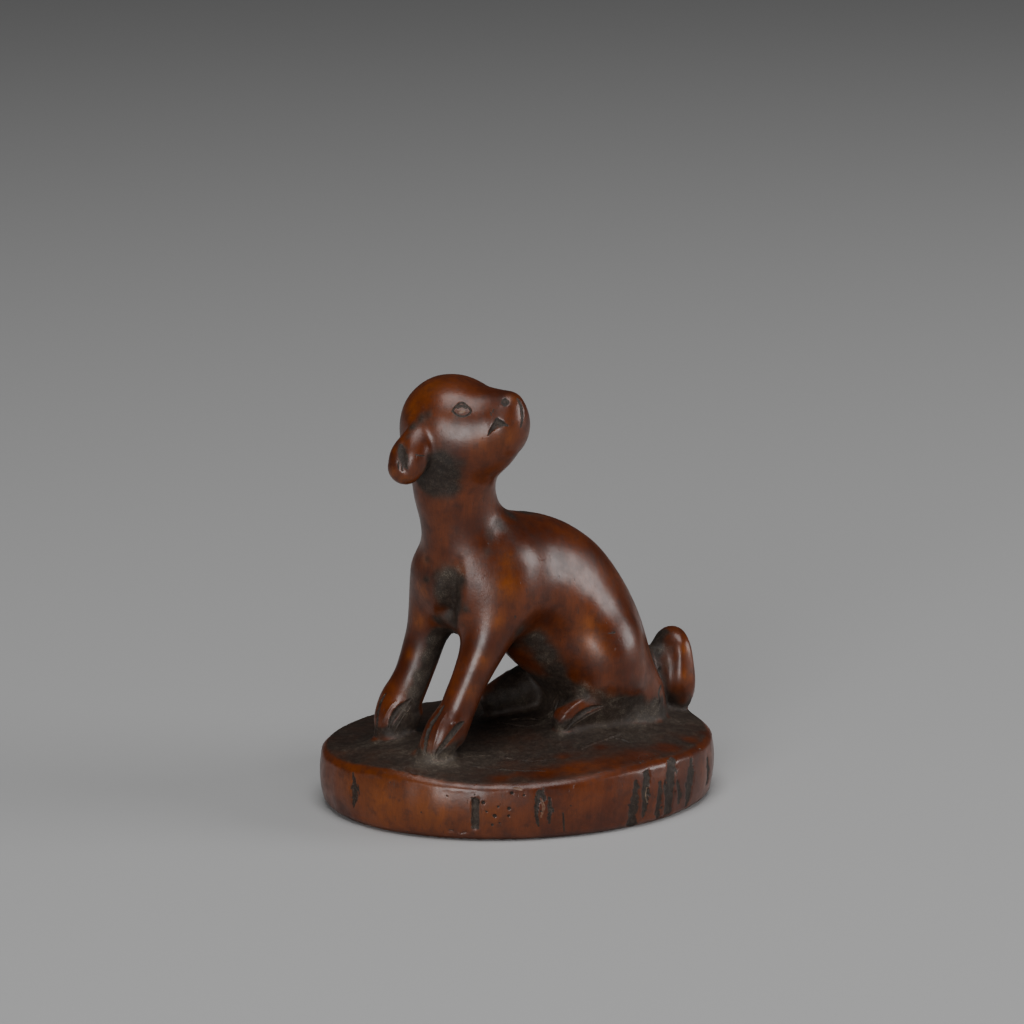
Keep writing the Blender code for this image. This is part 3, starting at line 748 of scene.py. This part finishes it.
POLISH = (
    ("none", (
        (671, 640, 9, 1), (672, 655, 10, 1), (672, 670, 10, 1), (679, 626, 9, 1),
        (686, 645, 12, 1), (687, 665, 12, 1), (685, 685, 12, 1), (674, 686, 8, 0.8),
        (684, 700, 8, 0.7), (428, 449, 6, 0.7), (424, 462, 6, 0.7), (570, 712, 5, 0.7),
        (580, 704, 5, 0.7), (561, 721, 4, 0.5), (438, 731, 5, 1), (434, 744, 5, 0.8),
        (388, 709, 5, 1), (383, 722, 5, 0.8), (443, 719, 5, 1), (460, 744, 6, 0.8),
        (466, 736, 5, 0.8),
    )),
)
SLOPE = (
    ("none", (
        (500, 779, 12, 0.6), (520, 774, 9, 0.5), (545, 774, 15, 0.95), (575, 769, 17, 1),
        (608, 763, 18, 1), (640, 756, 18, 1), (668, 748, 14, 0.95), (690, 740, 9, 0.7),
        (600, 747, 9, 0.5), (563, 756, 9, 0.5), (529, 718, 5, 0.4), (330, 762, 9, 0.4),
        (360, 772, 9, 0.35), (400, 780, 9, 0.35), (705, 733, 7, 0.5),
    )),
)
# Dust patches; the last two paint the tail's facet paler where it faces the light
DUST_AND_PALE_LIGHT = (
    ("none", (
        (408, 752, 10, 0.5), (428, 760, 11, 0.7), (450, 761, 11, 0.7), (372, 744, 8, 0.5),
        (470, 756, 9, 0.4), (455, 418, 16, 0.12), (450, 432, 14, 0.15), (475, 806, 4, 0.5),
        (475, 815, 4, 0.6), (475, 823, 4, 0.5), (520, 700, 10, 0.3), (535, 672, 10, 0.3),
        (392, 752, 22, 0.4), (432, 764, 22, 0.35), (484, 760, 22, 0.2), (640, 733, 20, 0.22),
        (598, 724, 16, 0.2), (350, 750, 14, 0.35), (690, 722, 12, 0.2), (415, 755, 5, 0.6),
        (424, 757, 5, 0.8), (433, 759, 6, 1), (443, 759, 6, 1), (453, 757, 6, 0.8),
        (465, 754, 6, 0.6), (480, 756, 5, 0.4), (366, 742, 4, 0.6), (376, 743, 4, 0.9),
        (386, 743, 4, 0.8), (396, 742, 5, 0.6), (445, 574, 8, 0.9), (452, 580, 7, 0.7),
        (440, 596, 8, 0.6), (460, 570, 6, 0.8), (434, 640, 6, 0.6), (425, 655, 7, 0.8),
        (418, 675, 7, 0.9), (410, 690, 7, 0.9), (404, 712, 6, 0.7), (550, 715, 5, 0.6),
        (558, 728, 5, 0.7), (582, 690, 7, 0.7), (598, 694, 6, 0.7), (655, 706, 6, 0.6),
        (560, 734, 6, 0.6), (660, 650, 3, 0.7), (431, 744, 3, 0.6), (506, 752, 12, 0.3),
        (536, 634, 7, 0.4), (548, 660, 8, 0.4), (500, 690, 9, 0.3), (640, 714, 10, 0.5),
        (655, 712, 8, 0.6), (620, 711, 10, 0.5), (600, 722, 8, 0.5), (545, 722, 6, 0.6),
        (675, 722, 8, 0.4), (612, 700, 8, 0.6), (586, 688, 6, 0.9), (668, 650, 6, 0.35),
        (669, 664, 6, 0.35),
    )),
)


def mirrored(curve, kind):
    """The curve on the far side, for the marks that come in pairs."""
    q = np.hstack([to_body(curve[:, :3]), curve[:, 3:]])
    if kind == "head":
        q = other_side(q)
    else:
        q[:, 0] *= -1.0
        q[:, 1] += HIND_STEP if kind == "hind" else 0.0
    return np.hstack([from_body(q[:, :3]), q[:, 3:]])


def laid_marks(tree):
    """Every mark as a smooth curve on the surface, with its profile and soil."""
    out = []
    for profile, soil_and_shade, bare_and_highlight, rows, *mirror in MARKS:
        curve = traced(tree, rows, profile == "scar")
        away = np.linalg.norm(curve[:, :3] - EYE_POINT / HEIGHT, axis=1)
        curve = curve[away < np.median(away) + STEP_BACK]
        if len(curve) < 2:
            continue
        curve = curve_through(curve, 5)
        curve[:, 3:] *= PIXEL
        out.append((profile, soil_and_shade, bare_and_highlight, curve))
        for kind in mirror:
            out.append((profile, soil_and_shade, bare_and_highlight, mirrored(curve, kind)))
    for u, v, radius in PITS:
        spot = traced(tree, ((u, v, radius, 0.8 * radius), (u + 0.1, v, radius, 0.8 * radius)))
        if len(spot) == 2:
            spot[:, 3:] *= PIXEL
            out.append(("slot", 0.9, 0.0, spot))
    return out


def around(p, curve, reach):
    """Which points lie inside the curve's box, widened by the reach."""
    low = curve[:, :3].min(0) - reach
    high = curve[:, :3].max(0) + reach
    return np.nonzero(((p > low) & (p < high)).all(1))[0]


def refined(mesh, marks, passes):
    """Faces near the marks split until they are fine enough for them."""
    bm = bmesh.new()
    bm.from_mesh(mesh)
    for _ in range(passes):
        p = np.array([vert.co for vert in bm.verts])
        wanted = np.full(len(p), 1.0)
        for _, _, _, curve in marks:
            reach = curve[:, 3].max() + 2.5 * PIXEL
            near = around(p, curve, reach)
            if len(near) == 0:
                continue
            far, more = near_curve(p[near], curve)
            fine = np.maximum(0.45 * more[:, 0], 0.42 * PIXEL)
            near_enough = far < 1.35 * more[:, 0] + 1.2 * PIXEL
            wanted[near[near_enough]] = np.minimum(wanted[near], fine)[near_enough]
        bm.verts.ensure_lookup_table()
        edges = [
            edge for edge in bm.edges
            if edge.calc_length() > 1.5 * min(wanted[v.index] for v in edge.verts)
        ]
        bmesh.ops.subdivide_edges(bm, edges=edges, cuts=1, use_grid_fill=True)
        bm.verts.index_update()
    bmesh.ops.triangulate(bm, faces=bm.faces)
    bm.to_mesh(mesh)
    bm.free()
    return mesh


def wobble(p, size, seed, layers=7):
    """Smooth unevenness between about -1 and 1, in waves of about that size."""
    draw = np.random.RandomState(seed)
    out = np.zeros(len(p))
    for _ in range(layers):
        way, cross = draw.normal(size=(2, 3))
        way *= 2.0 * math.pi / (size * np.linalg.norm(way))
        cross *= math.pi / (size * np.linalg.norm(cross))
        pace, start = draw.uniform(0.7, 1.4), draw.uniform(0.0, 6.28)
        out += np.sin(pace * (p @ way) + start + 1.6 * np.sin(p @ cross + start))
    return out / math.sqrt(layers)


def patched(p, tree, patches):
    """How strongly the soft patches cover each point."""
    clear = np.ones(len(p))
    for mirror, rows in patches:
        spots = traced(tree, rows)
        spots[:, 3] *= PIXEL
        both = [spots] if mirror == "none" else [spots, mirrored(spots, mirror)]
        for x, y, z, radius, strength in np.vstack(both):
            far = ((p - (x, y, z)) ** 2).sum(1) / radius ** 2
            clear *= 1.0 - strength * np.exp(-far)
    return 1.0 - clear


def carved():
    """The whole carving as one fine mesh, with its masks for the finish, which also carry painted
    shade and highlights.
    """
    mesh = worked(rough_block(), "REMESH", mode="VOXEL", voxel_size=COARSE_STEP)
    mesh = settle(mesh, 4)
    mesh = worked(mesh, "REMESH", mode="VOXEL", voxel_size=FINE_STEP)
    for _ in range(3):
        mesh = settle(mesh, 2)
        mesh = worked(mesh, "SMOOTH", factor=0.5, iterations=2)
    mesh = settle(mesh, 1)
    mesh = worked(mesh, "SUBSURF", levels=1, render_levels=1)
    mesh = settle(mesh, 1)
    tree = BVHTree.FromPolygons(
        [Vector(co) for co in column(mesh, "co")], [tuple(f.vertices) for f in mesh.polygons]
    )
    marks = laid_marks(tree)
    mesh = refined(mesh, marks, 3)
    mesh = settle(mesh, 1)

    p, n = column(mesh, "co"), column(mesh, "normal")
    thick = BASE_THICK / HEIGHT
    near_figure, near_plate = figure(to_body(p)), plate(p)
    on_plate = smooth(-0.010, 0.040, near_figure - near_plate)
    top = smooth(0.78, 0.96, n[:, 2]) * smooth(0.75, 0.95, p[:, 2] / thick)
    side = on_plate * (1.0 - smooth(0.2, 0.6, np.abs(n[:, 2])))
    # Occlusion of each point: it darkens the soil mask below, partly as dirt and partly as painted
    # shade in hollows
    hollow = np.zeros(len(p))
    for reach, share in HOLLOWS:
        hollow += share * np.clip(1.0 - whole(p + reach * n) / reach, 0.0, 1.0)
    edge = np.clip(1.0 + whole(p - EDGE_REACH * n) / EDGE_REACH, 0.0, 1.0)

    cut, raised = np.zeros(len(p)), np.zeros(len(p))
    cut_soil_and_shade, bare_and_highlight = np.zeros(len(p)), np.zeros(len(p))
    for profile, soil_and_shade, pale, curve in marks:
        reach = 1.5 * curve[:, 3].max()
        near = around(p, curve, reach)
        if len(near) == 0:
            continue
        far, more = near_curve(p[near], curve)
        t = far / more[:, 0]
        if profile == "scar":
            t *= 1.0 + 0.30 * wobble(p[near], 0.016, 13) + 0.15 * wobble(p[near], 0.007, 17)
        shape = 1.0 - smooth(FLAT_SHARE[profile], 1.0, t)
        if profile == "ridge":
            raised[near] = np.maximum(raised[near], more[:, 1] * shape)
        else:
            cut[near] = np.maximum(cut[near], more[:, 1] * shape)
        inside = 1.0 - smooth(0.75, 1.15, t)
        cut_soil_and_shade[near] = np.maximum(cut_soil_and_shade[near], soil_and_shade * inside)
        bare_and_highlight[near] = np.maximum(bare_and_highlight[near], pale * inside)

    earth = on_plate * top
    polish = patched(p, tree, POLISH) * (1.0 - earth) + patched(p, tree, SLOPE) * earth
    # Soil mask: dirt, the ground's soil, and painted shade in hollows and under parts
    soil_and_shade = patched(p, tree, SOIL_AND_SHADE_PATCHES)
    soil_and_shade = 1.0 - (1.0 - soil_and_shade) * (1.0 - 0.95 * smooth(0.22, 0.75, hollow))
    soil_and_shade = 1.0 - (1.0 - soil_and_shade) * (1.0 - 0.74 * earth)
    soil_and_shade *= 1.0 - 0.93 * polish
    rough = smooth(0.3, 0.9, np.maximum(soil_and_shade, cut_soil_and_shade)) * (1.0 - 0.6 * side)
    height = raised - cut
    height += HAND_DEPTH * (wobble(p, 0.11, 3) - 1.0) * (1.0 - earth)
    height += SIDE_DEPTH * side * (wobble(p * (1.0, 1.0, 0.35), 0.085, 5) - 1.8)
    height += ROUGH_DEPTH * rough * wobble(p, 0.030, 7)
    height += FINE_DEPTH * rough * wobble(p, 0.013, 11)
    height *= smooth(0.0, 0.008, p[:, 2])
    p += height[:, None] * n
    put_back(mesh, p)

    # Masks for the finish: the soil and grime also paint shade, the amber also light and sheen,
    # the bare wood the eye's glint and ridge highlights, and the dust the tail's lit facet
    masks = {
        "soil_and_shade": soil_and_shade,
        "grime_and_shade": cut_soil_and_shade,
        "amber_and_sheen": patched(p, tree, AMBER_AND_SHEEN),
        "dust_and_pale_light": patched(p, tree, DUST_AND_PALE_LIGHT),
        "bare_and_highlight": bare_and_highlight,
        "worn": edge,
    }
    for name, values in masks.items():
        held = mesh.attributes.new(name, "FLOAT", "POINT")
        held.data.foreach_set("value", values.astype(np.float32))
    return mesh


def feed(tree, inputs, values):
    """Each named input linked to a socket or given a value."""
    for key, value in dict(values).items():
        if isinstance(value, bpy.types.NodeSocket):
            tree.links.new(value, inputs[key])
        else:
            inputs[key].default_value = value


def node(tree, kind, values=(), **settings):
    """A node with its settings and its inputs."""
    made = tree.nodes.new("ShaderNode" + kind)
    for name, value in settings.items():
        setattr(made, name, value)
    feed(tree, made.inputs, values)
    return made


def noise(tree, place, scale, detail, roughness=0.5):
    """Soft noise, with that many waves to a unit of place."""
    values = {"Vector": place, "Scale": scale, "Detail": detail, "Roughness": roughness}
    return node(tree, "TexNoise", values).outputs[0]


def maths(tree, operation, a, b=0.0, clamp=False):
    """One sum of two values."""
    made = node(tree, "Math", {0: a, 1: b}, operation=operation, use_clamp=clamp)
    return made.outputs[0]


def times(tree, a, b):
    return maths(tree, "MULTIPLY", a, b)


def plus(tree, a, b):
    return maths(tree, "ADD", a, b)


def span(tree, value, low, high, bottom=0.0, top=1.0):
    """The value taken from one range to another with soft ends."""
    made = node(
        tree, "MapRange",
        {"Value": value, "From Min": low, "From Max": high, "To Min": bottom, "To Max": top},
        interpolation_type="SMOOTHSTEP",
    )
    return made.outputs["Result"]


def mixed(tree, share, a, b, how="MIX"):
    """Colour b laid over colour a by the share."""
    made = node(tree, "Mix", {0: share, 6: a, 7: b}, data_type="RGBA", blend_type=how)
    return made.outputs[2]


def group(name, takes, gives):
    """An empty node group with named inputs and outputs."""
    tree = bpy.data.node_groups.new(name, "ShaderNodeTree")
    for label, kind, value in takes:
        socket = tree.interface.new_socket(label, in_out="INPUT", socket_type=kind)
        if value is not None:
            socket.default_value = value
    for label, kind in gives:
        tree.interface.new_socket(label, in_out="OUTPUT", socket_type=kind)
    start = tree.nodes.new("NodeGroupInput")
    end = tree.nodes.new("NodeGroupOutput")
    return tree, start.outputs, end.inputs


def grain_group():
    """Fine upright streaks and open pores of close-grained wood."""
    tree, takes, gives = group(
        "wood grain",
        (("Place", "NodeSocketVector", None), ("Pitch", "NodeSocketFloat", 1.0),
         ("Length", "NodeSocketFloat", 8.0)),
        (("Streak", "NodeSocketFloat"), ("Pore", "NodeSocketFloat")),
    )
    squeeze = maths(tree, "DIVIDE", 1.0, takes["Length"])
    flat = node(tree, "CombineXYZ", {"X": 1.0, "Y": 1.0, "Z": squeeze}).outputs[0]
    drawn = node(tree, "VectorMath", {0: takes["Place"], 1: flat}, operation="MULTIPLY").outputs[0]
    bend = node(tree, "TexNoise", {"Vector": takes["Place"], "Scale": 0.25, "Detail": 1.0})
    bent = node(tree, "VectorMath", {0: bend.outputs["Color"], "Scale": 0.7}, operation="SCALE")
    drawn = node(tree, "VectorMath", {0: drawn, 1: bent.outputs[0]}, operation="ADD").outputs[0]
    coarse = maths(tree, "DIVIDE", 2.2, takes["Pitch"])
    fine = maths(tree, "DIVIDE", 9.0, takes["Pitch"])
    wide = noise(tree, drawn, coarse, 3.0, 0.6)
    thin = noise(tree, drawn, fine, 2.0)
    streak = plus(tree, times(tree, wide, 0.6), times(tree, thin, 0.4))
    packed = maths(tree, "DIVIDE", 3.4, takes["Pitch"])
    cells = node(tree, "TexVoronoi", {"Vector": drawn, "Scale": packed, "Randomness": 1.0})
    drawn_lot = node(tree, "SeparateColor", {0: cells.outputs["Color"]}).outputs[0]
    rare = span(tree, drawn_lot, 0.70, 0.80)
    dot = span(tree, cells.outputs["Distance"], 0.10, 0.20, 1.0, 0.0)
    tree.links.new(streak, gives["Streak"])
    tree.links.new(times(tree, dot, rare), gives["Pore"])
    return tree


def breakup_group():
    """A mask with ragged, speckled edges instead of soft ones."""
    tree, takes, gives = group(
        "ragged mask",
        (("Mask", "NodeSocketFloat", 0.0), ("Place", "NodeSocketVector", None),
         ("Size", "NodeSocketFloat", 1.0), ("Raggedness", "NodeSocketFloat", 0.5),
         ("Edge", "NodeSocketFloat", 0.2)),
        (("Mask", "NodeSocketFloat"),),
    )
    pitch = maths(tree, "DIVIDE", 1.0, takes["Size"])
    cloud = noise(tree, takes["Place"], pitch, 5.0, 0.65)
    shift = times(tree, maths(tree, "SUBTRACT", cloud, 0.5), takes["Raggedness"])
    moved = plus(tree, takes["Mask"], shift)
    low = maths(tree, "SUBTRACT", 0.5, takes["Edge"])
    high = plus(tree, 0.5, takes["Edge"])
    tree.links.new(span(tree, moved, low, high), gives["Mask"])
    return tree


def speckle_group():
    """Sparse fine specks with gaps between their clusters."""
    tree, takes, gives = group(
        "specks",
        (("Place", "NodeSocketVector", None), ("Size", "NodeSocketFloat", 0.1),
         ("Share", "NodeSocketFloat", 0.4)),
        (("Speck", "NodeSocketFloat"),),
    )
    pitch = maths(tree, "DIVIDE", 1.0, takes["Size"])
    fine = noise(tree, takes["Place"], pitch, 3.0, 0.6)
    wide = noise(tree, takes["Place"], times(tree, pitch, 0.16), 2.0)
    both = plus(tree, times(tree, fine, 0.7), times(tree, wide, 0.3))
    low = maths(tree, "SUBTRACT", 0.66, times(tree, takes["Share"], 0.3))
    tree.links.new(span(tree, both, low, plus(tree, low, 0.07)), gives["Speck"])
    return tree


def placed(tree, held, values):
    """A node group put into a material, with its own values."""
    return node(tree, "Group", values, node_tree=held).outputs


# Millimetres in a metre, so that patterns are sized in millimetres
MILLIMETRES = 1000.0

# Colours of the stain, the soil and the wood where both are worn off.  The soil colours
# also paint shade in hollows and under parts, the amber stain also paints light and
# sheen, the bare wood also paints the eye's glint and pale highlights on ridges, and
# the dust grey also paints the tail's lit facet paler.
DEEP_STAIN = (0.056, 0.0105, 0.0022, 1.0)
WARM_STAIN = (0.110, 0.0235, 0.0040, 1.0)
AMBER_STAIN_AND_SHEEN = (0.210, 0.0520, 0.0040, 1.0)
DARK_STAIN = (0.028, 0.0058, 0.0020, 1.0)
WORN_STAIN = (0.160, 0.0300, 0.0060, 1.0)
PORE = (0.014, 0.0075, 0.0050, 1.0)
DARK_SOIL_AND_SHADE = (0.0115, 0.0075, 0.0048, 1.0)
PALE_SOIL_AND_SHADE = (0.0440, 0.0310, 0.0205, 1.0)
DUST_GREY_AND_PALE_LIGHT = (0.190, 0.155, 0.115, 1.0)
BARE_WOOD_AND_HIGHLIGHT = (0.240, 0.160, 0.100, 1.0)


def netsuke_wood():
    """Stained and hand-polished wood with soil and painted shade in its hollows."""
    material = bpy.data.materials.new("stained and handled wood")
    material.use_nodes = True
    tree = material.node_tree
    shader = tree.nodes["Principled BSDF"]
    mask = {
        name: node(tree, "Attribute", attribute_name=name).outputs["Fac"]
        for name in ("soil_and_shade", "grime_and_shade", "amber_and_sheen", "dust_and_pale_light", "bare_and_highlight", "worn")
    }
    coordinates = node(tree, "TexCoord").outputs["Object"]
    scaled = {0: coordinates, "Scale": MILLIMETRES}
    place = node(tree, "VectorMath", scaled, operation="SCALE").outputs[0]
    grain = placed(tree, grain_group(), {"Place": place, "Pitch": 1.0, "Length": 7.0})
    ragged = breakup_group()
    # Soil mask, which also paints shade in hollows and under parts
    soil_and_shade = placed(tree, ragged, {"Mask": mask["soil_and_shade"], "Place": place, "Size": 2.2,
                                 "Raggedness": 0.50, "Edge": 0.36})["Mask"]
    # Soil of the cuts, which also paints their shade
    grime_and_shade = placed(tree, ragged, {"Mask": mask["grime_and_shade"], "Place": place, "Size": 0.3,
                                  "Raggedness": 0.3, "Edge": 0.22})["Mask"]
    soil_and_shade = maths(tree, "MAXIMUM", soil_and_shade, grime_and_shade)
    bare_and_highlight = placed(tree, ragged, {"Mask": mask["bare_and_highlight"], "Place": place, "Size": 0.25,
                                 "Raggedness": 0.5, "Edge": 0.2})["Mask"]
    specks = speckle_group()
    fine = placed(tree, specks, {"Place": place, "Size": 0.11, "Share": 0.45})["Speck"]
    rare = placed(tree, specks, {"Place": place, "Size": 0.20, "Share": 0.10})["Speck"]
    covered = maths(tree, "ADD", 0.25, fine, True)
    dust_and_pale_light = times(tree, mask["dust_and_pale_light"], covered)
    cloud = noise(tree, place, 0.16, 4.0, 0.6)
    mottle = noise(tree, place, 0.8, 5.0, 0.62)

    stain = mixed(tree, span(tree, cloud, 0.35, 0.65), DEEP_STAIN, WARM_STAIN)
    # Amber: worn tone, with painted light and sheen
    stain = mixed(tree, times(tree, mask["amber_and_sheen"], 0.85), stain, AMBER_STAIN_AND_SHEEN)
    stain = mixed(tree, span(tree, mottle, 0.42, 0.72, 0.0, 0.55), stain, DARK_STAIN)
    streak = span(tree, grain["Streak"], 0.30, 0.70, 0.82, 1.12)
    shade = node(tree, "CombineColor", {0: streak, 1: streak, 2: streak}).outputs[0]
    stain = mixed(tree, 1.0, stain, shade, "MULTIPLY")
    stain = mixed(tree, times(tree, grain["Pore"], 0.45), stain, PORE)
    stain = mixed(tree, span(tree, mask["worn"], 0.25, 0.70, 0.0, 0.70), stain, WORN_STAIN)
    crust = noise(tree, place, 2.6, 6.0, 0.72)
    # Soil colour, also the colour of the painted shade
    dirt_and_shade = mixed(tree, span(tree, crust, 0.44, 0.74, 0.0, 0.75), DARK_SOIL_AND_SHADE, PALE_SOIL_AND_SHADE)
    dirt_and_shade = mixed(tree, times(tree, fine, 0.13), dirt_and_shade, DUST_GREY_AND_PALE_LIGHT)
    finish = mixed(tree, times(tree, soil_and_shade, 0.94), stain, dirt_and_shade)
    # Dust specks, bare wood that also paints the eye's glint and ridge highlights, and dust that
    # also paints the tail's lit facet paler
    for layer, share, colour in (
        (rare, 0.10, DUST_GREY_AND_PALE_LIGHT), (bare_and_highlight, 0.75, BARE_WOOD_AND_HIGHLIGHT), (dust_and_pale_light, 0.70, DUST_GREY_AND_PALE_LIGHT)
    ):
        finish = mixed(tree, times(tree, layer, share), finish, colour)
    tree.links.new(finish, shader.inputs["Base Color"])

    gloss = span(tree, mottle, 0.3, 0.7, 0.30, 0.42)
    dull = maths(tree, "MAXIMUM", soil_and_shade, maths(tree, "MAXIMUM", dust_and_pale_light, bare_and_highlight))
    roughness = node(tree, "Mix", {0: dull, 2: gloss, 3: 0.62}, data_type="FLOAT").outputs[0]
    tree.links.new(roughness, shader.inputs["Roughness"])
    clean = maths(tree, "SUBTRACT", 1.0, dull)
    coat = times(tree, clean, 0.16)
    tree.links.new(coat, shader.inputs["Coat Weight"])
    shader.inputs["Coat Roughness"].default_value = 0.20
    shader.inputs["IOR"].default_value = 1.45
    shader.inputs["Metallic"].default_value = 0.0

    handled = noise(tree, place, 3.6, 3.0)
    crusted = times(tree, plus(tree, crust, times(tree, fine, 0.2)), soil_and_shade)
    relief = times(tree, grain["Streak"], 0.20)
    for layer, depth in (
        (grain["Pore"], -0.5), (mottle, 0.8), (handled, 0.40), (crusted, 1.1), (dust_and_pale_light, 0.8)
    ):
        relief = plus(tree, relief, times(tree, layer, depth))
    bump = node(tree, "Bump", {"Height": relief, "Strength": 0.5, "Distance": 0.00005})
    tree.links.new(bump.outputs[0], shader.inputs["Normal"])
    return material


def plain_floor():
    """A wide pale floor for the studio."""
    bm = bmesh.new()
    bmesh.ops.create_grid(bm, x_segments=2, y_segments=2, size=3.0)
    mesh = bpy.data.meshes.new("floor")
    bm.to_mesh(mesh)
    bm.free()
    floor = shown("floor", mesh)
    material = bpy.data.materials.new("pale paper")
    material.use_nodes = True
    shader = material.node_tree.nodes["Principled BSDF"]
    shader.inputs["Base Color"].default_value = (0.42, 0.42, 0.42, 1.0)
    shader.inputs["Roughness"].default_value = 0.9
    mesh.materials.append(material)
    return floor


# Soft lights: name, bearing and rise in degrees, width, height and power
LIGHT_REACH = 0.60
SOFTBOXES = (
    ("key softbox", -17.0, 8.0, 0.26, 0.32, 2.5),
    ("top softbox", 0.0, 72.0, 0.40, 0.40, 2.5),
    ("right softbox", 86.0, 17.0, 0.34, 0.24, 1.9),
)


def softbox(name, bearing, rise, width, height, power):
    """A soft light at a bearing from the camera, aimed at the carving."""
    lamp = bpy.data.lights.new(name, "AREA")
    lamp.shape = "RECTANGLE"
    lamp.size = width
    lamp.size_y = height
    lamp.energy = power
    held = shown(name, lamp)
    turn, lift = math.radians(bearing), math.radians(rise)
    level = Vector((math.sin(AZIMUTH), -math.cos(AZIMUTH), 0.0))
    aside = Vector(SIDEWAYS)
    way = (level * math.cos(turn) + aside * math.sin(turn)) * math.cos(lift)
    way += Vector((0.0, 0.0, math.sin(lift)))
    middle = Vector((0.0, 0.0, 0.5 * HEIGHT))
    held.location = middle + way * LIGHT_REACH
    held.rotation_euler = (-way).to_track_quat("-Z", "Y").to_euler()


def studio():
    """Camera at the photograph's angle, soft lights and a pale surround."""
    lens = bpy.data.cameras.new("camera")
    lens.lens = LENS
    lens.sensor_width = SENSOR
    camera = shown("camera", lens)
    camera.location = EYE_POINT
    camera.rotation_euler = Vector(BACKWARD).to_track_quat("Z", "Y").to_euler()
    bpy.context.scene.camera = camera
    for light in SOFTBOXES:
        softbox(*light)
    world = bpy.data.worlds.new("studio")
    world.use_nodes = True
    world.node_tree.nodes["Background"].inputs["Color"].default_value = (0.5, 0.5, 0.5, 1.0)
    world.node_tree.nodes["Background"].inputs["Strength"].default_value = 0.06
    bpy.context.scene.world = world


def main():
    """The finished netsuke on its floor in the studio."""
    mesh = carved()
    mesh.transform(Matrix.Scale(HEIGHT, 4))
    for polygon in mesh.polygons:
        polygon.use_smooth = True
    mesh.materials.clear()
    mesh.materials.append(netsuke_wood())
    piece = shown("carved_netsuke", mesh)
    mesh.name = piece.name
    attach(piece, "root")
    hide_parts("netsuke")
    plain_floor()
    studio()


main()
